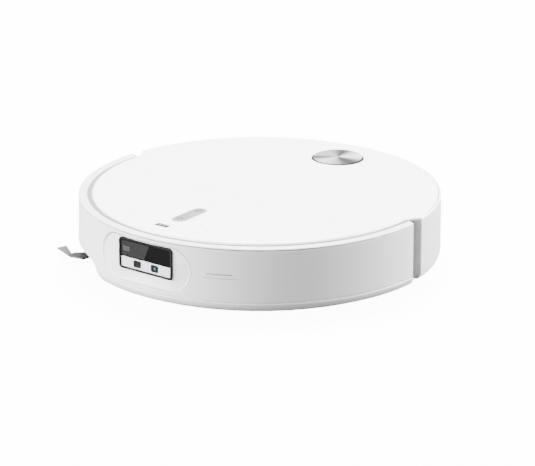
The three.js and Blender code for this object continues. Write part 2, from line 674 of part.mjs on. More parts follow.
function dustbinLid() {
  const panel = block(-BIN.x, BIN.x, BIN.y0, BIN.y1, BIN.z1 + GAP, BIN.z1 + 3);
  const posts = join(block(-24, -20, 28, 38, 68, 73.6), block(20, 24, 28, 38, 68, 73.6));
  return join(panel, posts, block(-24, 24, 28, 38, 71.6, 73.6));
}

function dustFilter() {
  const frame = block(50, 53.6, 60, 83.6, 42, 64);
  const pleats = [];
  for (let y = 63; y < 80; y += 4) pleats.push(block(49, 51.5, y, y + 2, 45, 61));
  return cut(frame, ...pleats);
}

function fanHousing() {
  const outer = join(
    rod(FAN.r, FAN.z0, FAN.z1, FAN.x, FAN.y, 28),
    rod(10, BASE.top + GAP, FAN.z0 + 1, FAN.x, FAN.y, 20),
    block(BIN.x + 0.6, FAN.x, 66, 82, 45, 61),
    block(FAN.x - 9, FAN.x + 9, FAN.y, 141, 36, 58),
  );
  return cut(
    outer,
    rod(FAN.r - 2.5, FAN.z0 + 3, FAN.z1 - 3, FAN.x, FAN.y, 28),
    block(BIN.x, FAN.x, 68, 80, 47, 59),
    block(FAN.x - 7, FAN.x + 7, FAN.y + 20, 150, 38, 56),
  );
}

function fanImpeller() {
  const hub = join(rod(FAN.impellerR, 37, 39, 0, 0, 32), rod(6, 38, 58, 0, 0, 16));
  const blades = [];
  for (let i = 0; i < 7; i++) {
    const blade = new THREE.BoxGeometry(16, 1.4, 15);
    blades.push(solid(blade.rotateZ(rad(28)).translate(12, -1.5, 46).rotateZ((i * 2 * Math.PI) / 7)));
  }
  return join(hub, ...blades);
}

// ---------- scanner turret ----------
function lidarGuide() {
  const outer = rod(LIDAR.towerR + 4, BASE.top + GAP, FRAME.bottom - 0.5, 0, 0, 30);
  return cut(outer, rod(LIDAR.towerR + 1.8, BASE.top - 1, FRAME.bottom + 1, 0, 0, 30));
}

// Cage that rises out of the cover: floor, three posts and a top under the metal cap.
function lidarTower() {
  const r = LIDAR.towerR;
  const shell = cut(rod(r, LIDAR.bottom, LIDAR.top, 0, 0, 30), rod(r - 2.5, 53, LIDAR.top - 2, 0, 0, 30));
  const windows = [0, 120, 240].map((turn) => sector(turn - 48, turn + 48, 55, 74.5, 60));
  return cut(shell, ...windows, rod(4.3, 40, 60, 0, 0, 20));
}

function lidarCap() {
  const { capR, capBottom, capTop } = LIDAR;
  return turned(
    [[0, capBottom], [capR - 0.6, capBottom], [capR, capBottom + 0.5], [capR, capTop - 0.4], [capR - 0.5, capTop], [0, capTop]],
    36,
  );
}

function lidarRotor() {
  const head = rod(19.5, 54, 73.5, 0, 0, 36);
  const eyes = join(block(-13, -3, -30, -15, 58, 69), block(4, 12, -30, -15, 59, 68));
  return join(cut(head, eyes), rod(3.9, LIDAR.bottom - 2, 56, 0, 0, 20));
}

// ---------- wheels ----------
function wheelHousing() {
  const outer = wheelOpening(BASE.top + GAP, WELL.top, WELL.wall);
  return cut(outer, wheelOpening(0, WELL.top - WELL.wall), rodX(DRIVE.motorR + 1.2, 80, 90, PIVOT.y, PIVOT.z, 32));
}

function driveUnit() {
  const outline = twoCircles(WHEEL.y, WHEEL.z, DRIVE.wheelEnd, PIVOT.y, PIVOT.z, DRIVE.pivotEnd);
  return join(
    prismX(outline, DRIVE.x0, DRIVE.x1, 8),
    rodX(DRIVE.motorR, DRIVE.motorX, DRIVE.x0 + 1, PIVOT.y, PIVOT.z, 28),
    rodX(4, DRIVE.x1 - 1, WHEEL.x1 - 9, WHEEL.y, WHEEL.z, 20),
  );
}

function tyre() {
  const width = WHEEL.x1 - WHEEL.x0;
  const ring = cut(
    rodX(WHEEL.r, -width / 2, width / 2, 0, 0, 36),
    rodX(WHEEL.rimR, -width / 2 - 1, width / 2 + 1, 0, 0, 32),
  );
  const blocks = 12;
  const grooves = [];
  for (let i = 0; i < blocks; i++) {
    const turn = (i * 2 * Math.PI) / blocks;
    const groove = new THREE.BoxGeometry(width / 2 + 1, 3, 4).translate(((i % 2 ? 1 : -1) * width) / 4, 0, WHEEL.r);
    grooves.push(solid(groove.rotateX(turn)));
  }
  return cut(ring, ...grooves);
}

function wheelHub() {
  const half = (WHEEL.x1 - WHEEL.x0) / 2;
  const disc = cut(
    rodX(WHEEL.rimR - GAP, -half + 1.5, half - 0.5, 0, 0, 32),
    rodX(21, half - 4, half + 1, 0, 0, 24),
    rodX(20, -half, -half + 6, 0, 0, 24),
  );
  const boss = join(disc, rodX(9, -half + 1.5, half - 1.5, 0, 0, 16));
  const holes = [];
  for (let i = 0; i < 6; i++) {
    const at = (i * Math.PI) / 3;
    holes.push(rodX(3.6, -half, half + 1, 15 * Math.cos(at), 15 * Math.sin(at), 8));
  }
  return cut(boss, rodX(4.4, -half - 1, half - 7, 0, 0, 16), ...holes);
}

// Everything that one drive wheel needs, drawn on the left and mirrored for the right.
function wheelModule(side, prefix) {
  const group = new THREE.Group();
  add(prefix + "_wheel_housing", mirrorX(wheelHousing(), side), GREY_PLASTIC, group);
  add(prefix + "_drive_unit", mirrorX(driveUnit(), side), BLACK_PLASTIC, group);
  for (const mesh of [
    add(prefix + "_tyre", mirrorX(tyre(), side), RUBBER, group),
    add(prefix + "_hub", mirrorX(wheelHub(), side), GREY_PLASTIC, group),
  ]) {
    mesh.position.set((side * (WHEEL.x0 + WHEEL.x1)) / 2, WHEEL.y, WHEEL.z);
  }
  return group;
}

function casterFork() {
  const body = cut(rod(CASTER.forkR, 9, 33.4, 0, 0, 28), block(-CASTER.slot, CASTER.slot, -30, 30, 0, 28));
  const holes = rodX(2.5, -30, 30, CASTER.trail, CASTER.wheelR, 16);
  return cut(join(body, rod(5, 33, 44, 0, 0, 20)), holes);
}

function casterWheel() {
  const half = CASTER.slot - 0.7;
  const r = CASTER.wheelR;
  const tread = turned([[0, -half], [r - 1.5, -half], [r, -3], [r, 3], [r - 1.5, half], [0, half]], 24);
  return join(tread.rotate([0, 90, 0]), rodX(2.1, -14, 14, 0, 0, 16));
}

// ---------- side brush ----------
function sideBrushMotor() {
  return cut(
    join(rod(14, 13, BRUSH_HUB.pocketTop - GAP, 0, 0, 28), rod(5.2, 28, 33, 0, 0, 20), rod(11, 31.8, 54, 0, 0, 24)),
    rod(4.4, 10, 21, 0, 0, 20),
  );
}

// Two paddles sloping down from a hub; the outer part of each is swept back by its kink.
function sideBrush() {
  const { r, bottom, top, stemR, stemTop, stemBottom } = BRUSH_HUB;
  const { outline, thickness, rootZ, droop } = BRUSH_ARM;
  const shape = new THREE.Shape(outline.map((p) => new THREE.Vector2(...p)));
  const blade = new THREE.ExtrudeGeometry(shape, { depth: thickness, bevelEnabled: false });
  reshape(blade, (point) => point.setZ(point.z + rootZ - droop * point.x));
  const arm = solid(blade);
  const hub = join(rod(r, bottom, top, 0, 0, 24), rod(stemR, stemBottom, stemTop, 0, 0, 16));
  return join(hub, arm, arm.rotate([0, 0, 180]));
}

// ---------- assembly ----------
function subassembly(name) {
  const group = new THREE.Group();
  group.name = name;
  robot.add(group);
  return group;
}

function at(mesh, x, y, z) {
  mesh.position.set(x, y, z);
  return mesh;
}

function addTop() {
  const top = subassembly("top");
  add("front_deck", frontDeck(), WHITE_SATIN, top);
  add("rear_cover", rearCover(), WHITE_SATIN, top);
  add("upper_frame", upperFrame(), GREY_PLASTIC, top);
  add("button_bezel", buttonBezel(), GREY_PLASTIC, top);
  add("power_button", button(1), BUTTON_GREY, top);
  add("dock_button", button(-1), BUTTON_GREY, top);
  add("circuit_board", circuitBoard(), CIRCUIT_GREEN, top);
}

function addBumper() {
  const bumper = subassembly("bumper");
  add("bumper_skin", bumperSkin(), WHITE_MATTE, bumper);
  add("bumper_rim", bumperRim(), WHITE_SATIN, bumper);
  add("bumper_lip", bumperLip(ARCH.to, 100), GREY_PLASTIC, bumper);
  add("bumper_lip_end", bumperLip(-100, ARCH.from), GREY_PLASTIC, bumper);
  add("sensor_bezel", sensorBezel(), WHITE_MATTE, bumper);
  add("window_frame", windowFrame(), BLACK_PLASTIC, bumper);
  add("window_glass", windowPane(WINDOW.split + GAP, WINDOW.top), BLACK_GLASS, bumper);
  add("window_panel", lowerPanel(), SILVER_PANEL, bumper);
  for (const [name, x] of [["lens_right", -LENS.x], ["lens_left", LENS.x]]) {
    add(name, lens(x, 0, WINDOW.face + 0.1, WINDOW.face + 2.5), LENS_GLASS, bumper);
  }
  add("wall_sensor_window", wallSensorWindow(), BLACK_GLASS, bumper);
}

function addBody() {
  const body = subassembly("body");
  add("side_shell", sideShell(), WHITE_MATTE, body);
  add("base_tray", baseTray(), BLACK_PLASTIC, body);
  add("battery_door", batteryDoor(), BLACK_PLASTIC, body);
  add("battery_pack", batteryPack(), BATTERY_BLUE, body);
  add("camera_module", cameraModule(), BLACK_PLASTIC, body);
  for (const [side, end] of [[1, "left"], [-1, "right"]]) {
    add("charge_contact_" + end, chargeContact(side), CONTACT_METAL, body);
    add("bump_sensor_" + end, bumpSensor(side), BLACK_PLASTIC, body);
  }
  for (const [name, x, y] of CLIFFS) {
    add(name, cliffBlock(x, y, 0, BASE.bottom + GAP, 21), BLACK_GLASS, body);
  }
}

function addMainBrush() {
  const brush = subassembly("main_brush");
  const idler = idlerAxis();
  add("brush_housing", brushHousing(), BLACK_PLASTIC, brush);
  add("brush_guard", brushGuard(), GREY_PLASTIC, brush);
  add("brush_motor", brushMotor(), MOTOR_STEEL, brush);
  add("gear_cover", gearCover(), GREY_PLASTIC, brush);
  at(add("roller_left", leftRoller(), RUBBER, brush), 0, ROLLER.y, ROLLER.z);
  at(add("roller_right", rightRoller(), RUBBER, brush), 0, ROLLER.y, ROLLER.z);
  at(add("idler_gear", idlerGear(), GEAR_NYLON, brush), 0, idler.y, idler.z);
  at(add("motor_pinion", motorPinion(), GEAR_NYLON, brush), 0, BRUSH_MOTOR.y, BRUSH_MOTOR.z);
}

function addDustAndFan() {
  const dust = subassembly("dust_and_fan");
  add("dustbin", dustbin(), SMOKED_PLASTIC, dust);
  add("dustbin_lid", dustbinLid(), GREY_PLASTIC, dust);
  add("dust_filter", dustFilter(), FILTER_PAPER, dust);
  add("fan_housing", fanHousing(), BLACK_PLASTIC, dust);
  at(add("fan_impeller", fanImpeller(), WHITE_MATTE, dust), FAN.x, FAN.y, 0);
}

function addTurret() {
  const turret = subassembly("turret");
  turret.position.set(0, LIDAR.y, 0);
  add("lidar_guide", lidarGuide(), GREY_PLASTIC, turret);
  add("lidar_tower", lidarTower(), BLACK_PLASTIC, turret);
  add("lidar_rotor", lidarRotor(), BLACK_PLASTIC, turret);
  add("lidar_cap", lidarCap(), BRUSHED_METAL, turret);
}

function addRunningGear() {
  const gearing = subassembly("running_gear");
  gearing.add(wheelModule(1, "left"), wheelModule(-1, "right"));
  at(add("caster_fork", casterFork(), BLACK_PLASTIC, gearing), 0, CASTER.y, 0);
  at(add("caster_wheel", casterWheel(), RUBBER, gearing), 0, CASTER.y + CASTER.trail, CASTER.wheelR);
  at(add("side_brush_motor", sideBrushMotor(), GREY_PLASTIC, gearing), BRUSH_HUB.x, BRUSH_HUB.y, 0);
  const brush = at(add("side_brush", sideBrush(), BRISTLE_GREY, gearing), BRUSH_HUB.x, BRUSH_HUB.y, 0);
  brush.rotation.z = Math.PI;
}

addTop();
addBumper();
addBody();
addMainBrush();
addDustAndFan();
addTurret();
addRunningGear();

export default robot;
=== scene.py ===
import json
import math

import bmesh
import bpy
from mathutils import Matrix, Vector
from mathutils.geometry import delaunay_2d_cdt


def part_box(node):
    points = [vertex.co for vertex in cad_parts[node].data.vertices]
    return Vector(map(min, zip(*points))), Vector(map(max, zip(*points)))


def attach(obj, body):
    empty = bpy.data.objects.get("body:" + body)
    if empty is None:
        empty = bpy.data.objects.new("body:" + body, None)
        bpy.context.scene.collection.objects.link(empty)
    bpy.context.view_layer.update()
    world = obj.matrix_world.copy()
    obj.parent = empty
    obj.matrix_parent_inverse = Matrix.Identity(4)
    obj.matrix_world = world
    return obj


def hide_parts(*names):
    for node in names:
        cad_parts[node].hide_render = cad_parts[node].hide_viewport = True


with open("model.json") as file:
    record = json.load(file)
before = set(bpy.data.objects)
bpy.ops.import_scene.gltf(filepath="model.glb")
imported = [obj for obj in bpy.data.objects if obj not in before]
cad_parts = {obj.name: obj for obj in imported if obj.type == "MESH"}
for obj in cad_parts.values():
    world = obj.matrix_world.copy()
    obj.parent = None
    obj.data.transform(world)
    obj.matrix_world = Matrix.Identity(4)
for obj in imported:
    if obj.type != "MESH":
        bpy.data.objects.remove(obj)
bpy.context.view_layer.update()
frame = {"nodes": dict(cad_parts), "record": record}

MM = 0.001


def box(node):
    """Lowest and highest corner of a CAD node in millimetres."""
    low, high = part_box(node)
    return [v / MM for v in low], [v / MM for v in high]


def middle(node, axis):
    low, high = box(node)
    return (low[axis] + high[axis]) / 2


def joint_place(name):
    """A point on a turning joint's axis, in millimetres."""
    joints = frame["record"]["behaviour"]["joints"]
    return [v / MM for v in next(joint["pos_m"] for joint in joints if joint["name"] == name)]


BODY_R = -box("bumper_skin")[0][1]
SKIN_LOW = box("bumper_skin")[0][2]
SKIN_HIGH = box("bumper_skin")[1][2] - 0.1
DOME_TOP = box("rear_cover")[1][2]
DOME_FALL = 9e-5
COVER_LOW = box("rear_cover")[0][2]
SEAM_Y = 597.5
SEAM_R = 634.0
COVER_FRONT = -box("front_deck")[0][1]
COVER_REAR = box("rear_cover")[1][1]
BUMPER_END = box("bumper_skin")[1][1]
SHELL_START = 99.3
LIDAR_Y = middle("lidar_cap", 1)
CAP_R = box("lidar_cap")[1][0]
BUTTON_Y = middle("button_bezel", 1)
BEZEL_HALF = box("button_bezel")[1][0]
BEZEL_LENGTH = box("button_bezel")[1][1] - BUTTON_Y
LIP_LOW = 15.3
ARCH_END, ARCH_FOOT = -66, -74  # where the arch starts to come down and has come down
ARCH = ((-19.0, LIP_LOW), (-20.5, 17.0), (-22.0, 19.5), (-23.2, 22.5), (-24.2, 26.0), (-25.4, 29.0),
        (-27.0, 31.2), (-29.5, 32.4), (-32.0, 32.6))  # degrees from the front, and height over the side brush


# ---------- materials ----------
DRIFT_SCALE = 14.0
BUMP_DEPTH = 0.2 * MM


def linked(links, source, output, target, socket):
    links.new(source.outputs[output], target.inputs[socket])


def noise(nodes, links, vector, scale, detail):
    made = nodes.new("ShaderNodeTexNoise")
    made.inputs["Scale"].default_value = scale
    made.inputs["Detail"].default_value = detail
    links.new(vector, made.inputs["Vector"])
    return made.outputs["Fac"]


def material(name, color, roughness, metallic=0.0, mottle=0.02, grain=900.0, bump=0.05, spread=0.04,
             coat=0.0, sheen=0.0, stretch=(1, 1, 1), specular=0.5):
    """Moulded surface: broad colour drift, fine grain in the bump and a little uneven gloss."""
    mat = bpy.data.materials.new(name)
    mat.use_nodes = True
    nodes, links = mat.node_tree.nodes, mat.node_tree.links
    shader = nodes["Principled BSDF"]
    coords = nodes.new("ShaderNodeTexCoord")
    mapping = nodes.new("ShaderNodeMapping")
    mapping.inputs["Scale"].default_value = stretch
    linked(links, coords, "Object", mapping, "Vector")
    tint = nodes.new("ShaderNodeValToRGB")
    for stop, place, share in zip(tint.color_ramp.elements, (0.3, 0.7), (1 - mottle, 1 + mottle)):
        stop.position = place
        stop.color = [min(1.0, max(0.0, c * share)) for c in color] + [1]
    links.new(noise(nodes, links, mapping.outputs["Vector"], DRIFT_SCALE, 3.0), tint.inputs["Fac"])
    linked(links, tint, "Color", shader, "Base Color")
    fine = noise(nodes, links, mapping.outputs["Vector"], grain, 4.0)
    gloss = nodes.new("ShaderNodeMapRange")
    gloss.inputs["To Min"].default_value = max(0.02, roughness - spread)
    gloss.inputs["To Max"].default_value = min(1.0, roughness + spread)
    links.new(fine, gloss.inputs["Value"])
    linked(links, gloss, "Result", shader, "Roughness")
    grainy = nodes.new("ShaderNodeBump")
    grainy.inputs["Strength"].default_value = bump
    grainy.inputs["Distance"].default_value = BUMP_DEPTH
    links.new(fine, grainy.inputs["Height"])
    linked(links, grainy, "Normal", shader, "Normal")
    for socket, value in (("Metallic", metallic), ("Coat Weight", coat), ("Coat Roughness", 0.08),
                          ("Sheen Weight", sheen), ("Specular IOR Level", specular)):
        shader.inputs[socket].default_value = value
    mat.diffuse_color = (*color, 1)
    return mat


def glass(name, color, roughness, mottle, spread, specular=0.3, grain=200):
    return material(name, color, roughness, mottle=mottle, grain=grain, bump=0.0, spread=spread,
                    specular=specular)


def spun_metal(name, centre_y):
    """Metal turned on a lathe: fine rings round its centre, and a painted reflection: lighter and darker fans
    round the centre laid into its colour.
    """
    mat = material(name, (0.5, 0.5, 0.5), 0.36, metallic=0.35, grain=300, bump=0.0)
    nodes, links = mat.node_tree.nodes, mat.node_tree.links
    shader = nodes["Principled BSDF"]
    coords = nodes.new("ShaderNodeTexCoord")
    shift = nodes.new("ShaderNodeMapping")
    shift.inputs["Location"].default_value = (0, -centre_y, 0)
    linked(links, coords, "Object", shift, "Vector")
    fan = nodes.new("ShaderNodeTexGradient")
    fan.gradient_type = "RADIAL"
    linked(links, shift, "Vector", fan, "Vector")
    painted_sheen_ramp = nodes.new("ShaderNodeValToRGB")
    ramp = painted_sheen_ramp.color_ramp.elements
    # painted highlights and shade, fanned round the cap, standing for its reflection
    painted_sheen_stops = [(-178, 0.5), (-155, 0.5), (-145, 0.07), (-134, 0.2), (-118, 0.62), (-100, 0.9), (-75, 0.62),
              (-55, 0.42), (-36, 0.1), (-12, 0.06), (6, 0.2), (22, 0.75), (52, 1.0), (76, 0.7), (100, 0.12),
              (114, 0.06), (132, 0.24), (152, 0.45), (178, 0.5)]
    for k, (turn, shade) in enumerate(painted_sheen_stops):
        place = 0.5 + turn / 360
        stop = ramp[k] if k < 2 else ramp.new(place)
        stop.position = place
        stop.color = (shade, shade, shade * 1.01, 1)
    linked(links, fan, "Fac", painted_sheen_ramp, "Fac")
    rings = nodes.new("ShaderNodeTexWave")
    rings.wave_type = "RINGS"
    rings.rings_direction = "Z"
    rings.inputs["Scale"].default_value = 420.0
    rings.inputs["Distortion"].default_value = 1.5
    rings.inputs["Detail"].default_value = 2.0
    linked(links, shift, "Vector", rings, "Vector")
    tone = nodes.new("ShaderNodeMapRange")
    tone.inputs["To Min"].default_value = 0.42
    tone.inputs["To Max"].default_value = 0.62
    linked(links, rings, "Fac", tone, "Value")
    shade = nodes.new("ShaderNodeVectorMath")
    shade.operation = "SCALE"
    links.new(painted_sheen_ramp.outputs["Color"], shade.inputs[0])
    linked(links, tone, "Result", shade, "Scale")
    linked(links, shade, "Vector", shader, "Base Color")
    grooves = nodes.new("ShaderNodeBump")
    grooves.inputs["Strength"].default_value = 0.4
    grooves.inputs["Distance"].default_value = 0.04 * MM
    linked(links, rings, "Fac", grooves, "Height")
    linked(links, grooves, "Normal", shader, "Normal")
    return mat


WHITE_SATIN = material("white_satin", (0.86, 0.862, 0.866), 0.33, mottle=0.006, grain=1800, bump=0.035,
                       coat=0.15)
# the rim is the cover's white plastic, painted darker as shade on its crest and shoulder
RIM_WHITE_PAINTED_SHADE = material("rim_white_painted_shade", (0.62, 0.622, 0.626), 0.38, mottle=0.006, grain=1800, bump=0.035)
# dark grey painted shade for the groove beside the cover and the gap round the sensor recess
GROOVE_PAINTED_SHADE = material("groove_painted_shade", (0.17, 0.171, 0.174), 0.6, mottle=0.03, grain=1500, bump=0.05)
WHITE_WALL = material("white_wall", (0.82, 0.822, 0.828), 0.42, mottle=0.008, grain=1500, bump=0.06)
GREY = material("grey_plastic", (0.36, 0.365, 0.37), 0.5, mottle=0.03, grain=1200, bump=0.12)
LIP_GREY = material("lip_grey", (0.68, 0.684, 0.69), 0.45, mottle=0.02, grain=1200, bump=0.1)
BLACK = material("black_plastic", (0.006, 0.006, 0.0065), 0.7, mottle=0.1, grain=1300, bump=0.15,
                 specular=0.15)
UNDER_BLACK = material("underside_plastic", (0.03, 0.031, 0.033), 0.55, mottle=0.12, grain=900, bump=0.25)
GLASS_BLACK = glass("dark_glass", (0.0045, 0.0045, 0.0045), 0.1, 0.2, 0.01, specular=0.25, grain=60)
GLASS_GREY = glass("smoked_glass", (0.022, 0.022, 0.0225), 0.12, 0.1, 0.02, grain=60)
SILVER = material("silver_panel", (0.8, 0.805, 0.805), 0.35, metallic=0.1, mottle=0.02, grain=2200, bump=0.05)
LENS_BLUE = glass("lens_glass", (0.004, 0.009, 0.013), 0.1, 0.4, 0.01)
LENS_DARK = glass("lens_dark", (0.015, 0.015, 0.0155), 0.2, 0.3, 0.02)
SPUN = spun_metal("spun_metal", LIDAR_Y * MM)
CONTACT = material("contact_metal", (0.72, 0.6, 0.36), 0.25, metallic=1.0, mottle=0.06, grain=700, bump=0.08)
STEEL = material("steel", (0.5, 0.5, 0.51), 0.3, metallic=1.0, mottle=0.04, grain=500, bump=0.1,
                 stretch=(1, 1, 8))
RUBBER = material("rubber", (0.022, 0.022, 0.023), 0.8, mottle=0.15, grain=700, bump=0.3, sheen=0.1)
PADDLE = material("paddle_rubber", (0.022, 0.0222, 0.023), 0.6, mottle=0.1, grain=900, bump=0.2)
PADDLE_TIP = material("paddle_tip", (0.06, 0.0605, 0.062), 0.7, mottle=0.1, grain=500, bump=0.4,
                      stretch=(0.1, 1, 1))
BUTTON = material("button_grey", (0.17, 0.172, 0.175), 0.3, mottle=0.03, grain=900, bump=0.04, coat=0.3)
BUTTON_RING = material("button_ring", (0.3, 0.303, 0.307), 0.35, mottle=0.02, grain=900, bump=0.04)
MARK = material("mark_grey", (0.008, 0.008, 0.0085), 0.45, mottle=0.05, grain=900, bump=0.03)
ICON = material("icon_grey", (0.05, 0.051, 0.052), 0.4, mottle=0.04, grain=900, bump=0.03)
PRINT_FAINT = material("print_faint", (0.52, 0.52, 0.525), 0.5, mottle=0.04, grain=900, bump=0.03)
EMITTER = material("emitter", (0.04, 0.041, 0.042), 0.35, mottle=0.3, grain=200)
LENS_RIM = material("lens_rim", (0.006, 0.006, 0.007), 0.6, mottle=0.1, specular=0.2)
# painted highlight: a small teal glint laid on the left lens
LENS_PAINTED_GLINT = material("lens_painted_glint", (0.055, 0.085, 0.095), 0.3, mottle=0.3, grain=200)
PRINT = material("print_grey", (0.3, 0.3, 0.305), 0.5, mottle=0.04, grain=900, bump=0.03)
BOARD = material("board", (0.01, 0.09, 0.045), 0.4, mottle=0.25, grain=500, bump=0.1)
PAPER = material("filter_paper", (0.75, 0.74, 0.68), 0.95, mottle=0.05, grain=1400, bump=0.5,
                 stretch=(1, 6, 1))
WRAP = material("battery_wrap", (0.02, 0.06, 0.16), 0.3, mottle=0.12, grain=300, bump=0.1, coat=0.3)
NYLON = material("gear_nylon", (0.74, 0.72, 0.66), 0.5, mottle=0.03, grain=900, bump=0.05)
SMOKED = material("smoked_plastic", (0.07, 0.073, 0.078), 0.18, mottle=0.06, grain=500, bump=0.03, coat=0.5)


# ---------- mesh helpers, in millimetres ----------
WELD = 1e-6


def mesh_of(name, verts, faces):
    """Mesh from millimetre points, welded, its faces turned outward."""
    mesh = bpy.data.meshes.new(name)
    mesh.from_pydata([(x * MM, y * MM, z * MM) for x, y, z in verts], [], faces)
    work = bmesh.new()
    work.from_mesh(mesh)
    bmesh.ops.remove_doubles(work, verts=work.verts, dist=WELD)
    bmesh.ops.recalc_face_normals(work, faces=work.faces)
    work.to_mesh(mesh)
    work.free()
    return mesh


def linked_object(name, data):
    made = bpy.data.objects.new(name, data)
    bpy.context.scene.collection.objects.link(made)
    return made


def piece(name, verts, faces, mats, body, replaces=(), slot=None, sharp=35, face_mats=None):
    """Object from millimetre points, shaded smooth but for its sharp edges, riding on a CAD body."""
    mesh = mesh_of(name, verts, faces)
    mats = mats if isinstance(mats, (list, tuple)) else [mats]
    for mat in mats:
        mesh.materials.append(mat)
    if face_mats:
        mesh.polygons.foreach_set("material_index", face_mats)
    mesh.shade_smooth()
    mesh.set_sharp_from_angle(angle=math.radians(sharp))
    obj = linked_object(name, mesh)
    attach(obj, body)
    if replaces:
        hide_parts(*replaces)
    return obj


def ring_faces(rows, columns, close_rows=False, close_columns=False):
    """Quads over a grid of rows x columns points."""
    faces = []
    for i in range(rows if close_rows else rows - 1):
        for j in range(columns if close_columns else columns - 1):
            k = (i + 1) % rows
            m = (j + 1) % columns
            faces.append((i * columns + j, i * columns + m, k * columns + m, k * columns + j))
    return faces


def stack(rings, close_last=True):
    """Solid skin over a stack of outlines of equal length, closed at its ends."""
    count = len(rings[0])
    faces = ring_faces(len(rings), count, close_columns=True)
    faces.append(tuple(range(count))[::-1])
    if close_last:
        faces.append(tuple((len(rings) - 1) * count + k for k in range(count)))
    return [p for ring in rings for p in ring], faces


def tube(rings):
    """Skin over outlines that come round to the first one again."""
    faces = ring_faces(len(rings), len(rings[0]), close_rows=True, close_columns=True)
    return [p for ring in rings for p in ring], faces


def polar(r, degrees):
    """Point at a radius and an angle from the front, towards +X."""
    t = math.radians(degrees)
    return r * math.sin(t), -r * math.cos(t)


def lerp(a, b, t):
    return a + (b - a) * t


def smooth(low, high, x):
    t = min(1.0, max(0.0, (x - low) / (high - low)))
    return t * t * (3 - 2 * t)


def fillet(points, radius, steps=4):
    """Closed outline with its corners rounded."""
    done = []
    count = len(points)
    for i, (px, py) in enumerate(points):
        before = Vector(points[i - 1]) - Vector((px, py))
        after = Vector(points[(i + 1) % count]) - Vector((px, py))
        cut = min(radius, before.length * 0.45, after.length * 0.45)
        a = Vector((px, py)) + before.normalized() * cut
        b = Vector((px, py)) + after.normalized() * cut
        for k in range(steps + 1):
            t = k / steps
            p = a * (1 - t) ** 2 + Vector((px, py)) * 2 * t * (1 - t) + b * t * t
            done.append((p.x, p.y))
    return done


def sweep(profile, start, end, steps):
    """Closed profile of (radius, height) swept round Z between two angles, which may depend on the radius."""
    rings = []
    for i in range(steps + 1):
        ring = []
        for r, z in profile:
            a = start(r) if callable(start) else start
            b = end(r) if callable(end) else end
            ring.append((*polar(r, lerp(a, b, i / steps)), z))
        rings.append(ring)
    return stack(rings)


def spin(profile, steps, centre=(0, 0), axis="Z"):
    """Profile of (radius, height) turned all the way round, from axis to axis or closed on itself."""
    closed = profile[0][0] > 1e-6
    verts = []
    for i in range(steps):
        a = 2 * math.pi * i / steps
        for r, h in profile:
            if axis == "Z":
                verts.append((centre[0] + r * math.cos(a), centre[1] + r * math.sin(a), h))
            else:
                verts.append((h, centre[0] + r * math.cos(a), centre[1] + r * math.sin(a)))
    return verts, ring_faces(steps, len(profile), close_rows=True, close_columns=closed)


def merged(*parts):
    """Several (verts, faces) as one."""
    verts, faces = [], []
    for v, f in parts:
        base = len(verts)
        verts += v
        faces += [tuple(i + base for i in face) for face in f]
    return verts, faces


def end_angle(r):
    """Where the bumper's end plane meets a radius."""
    return math.degrees(math.acos(-BUMPER_END / r))


def dome(x, y):
    """Height of the gently domed top."""
    return DOME_TOP - DOME_FALL * (x * x + y * y)


def on_dome(x, y, lift):
    return x, y, dome(x, y) + lift


EDGE_INSETS = (0.0, 0.12, 0.4, 0.8, 1.4, 2.2, 3.3)
HOLE_ROLL = 0.45


def grid_points(rings, spacing):
    """Staggered points inside the first outline and outside the others."""
    low = [min(p[k] for p in rings[0]) for k in (0, 1)]
    high = [max(p[k] for p in rings[0]) for k in (0, 1)]
    points = []
    y = low[1] + spacing / 2
    row = 0
    while y < high[1]:
        x = low[0] + (spacing / 2 if row % 2 else 0)
        while x < high[0]:
            if inside((x, y), rings[0]) and not any(inside((x, y), ring) for ring in rings[1:]):
                points.append(Vector((x, y)))
            x += spacing
        y += spacing
        row += 1
    return points


def plan_plate(outlines, fall, under, spacing=7.0):
    """Domed plate from closed plan outlines, the first outside and the rest holes. Each outline is a function
    of an inset that gives its points; fall says how far the surface has rolled down at a place."""
    points, edges, drops = [], [], []
    for n, outline in enumerate(outlines):
        for inset in EDGE_INSETS:
            if n and inset > 1.0:
                continue
            ring = outline(inset)
            base = len(points)
            points += [Vector(p) for p in ring]
            drops += [0.0 if n == 0 else HOLE_ROLL * max(0.0, 1 - inset / 0.8) ** 2] * len(ring)
            edges += [(base + i, base + (i + 1) % len(ring)) for i in range(len(ring))]
    points += grid_points([outline(4.5 if n == 0 else 2.0) for n, outline in enumerate(outlines)], spacing)
    drops += [0.0] * (len(points) - len(drops))
    flat, _, tris, origin, _, _ = delaunay_2d_cdt(points, edges, [], 0, 1e-5)
    falls = [max((drops[k] for k in source), default=0.0) for source in origin]
    border = outlines[0](-0.001)
    holes = [outline(0.001) for outline in outlines[1:]]
    keep = []
    for tri in tris:
        c = sum((flat[i] for i in tri), Vector((0, 0))) / len(tri)
        if inside(c, border) and not any(inside(c, hole_ring) for hole_ring in holes):
            keep.append(tuple(tri))
    top = [(p.x, p.y, dome(p.x, p.y) - max(drop, fall(p.x, p.y))) for p, drop in zip(flat, falls)]
    count = len(top)
    verts = top + [(x, y, min(z - 0.1, under(x, y))) for x, y, z in top]
    faces = keep + [tuple(i + count for i in tri[::-1]) for tri in keep]
    rim_edges = dict.fromkeys((tri[k], tri[(k + 1) % len(tri)]) for tri in keep for k in range(len(tri)))
    for a, b in rim_edges:
        if (b, a) not in rim_edges:
            faces.append((b, a, a + count, b + count))
    return verts, faces


def inside(p, ring):
    """Whether a point lies in a closed outline."""
    hit = False
    x, y = p
    for (xi, yi), (xj, yj) in zip(ring, ring[-1:] + ring[:-1]):
        if (yi > y) != (yj > y) and x < (xj - xi) * (y - yi) / (yj - yi) + xi:
            hit = not hit
    return hit


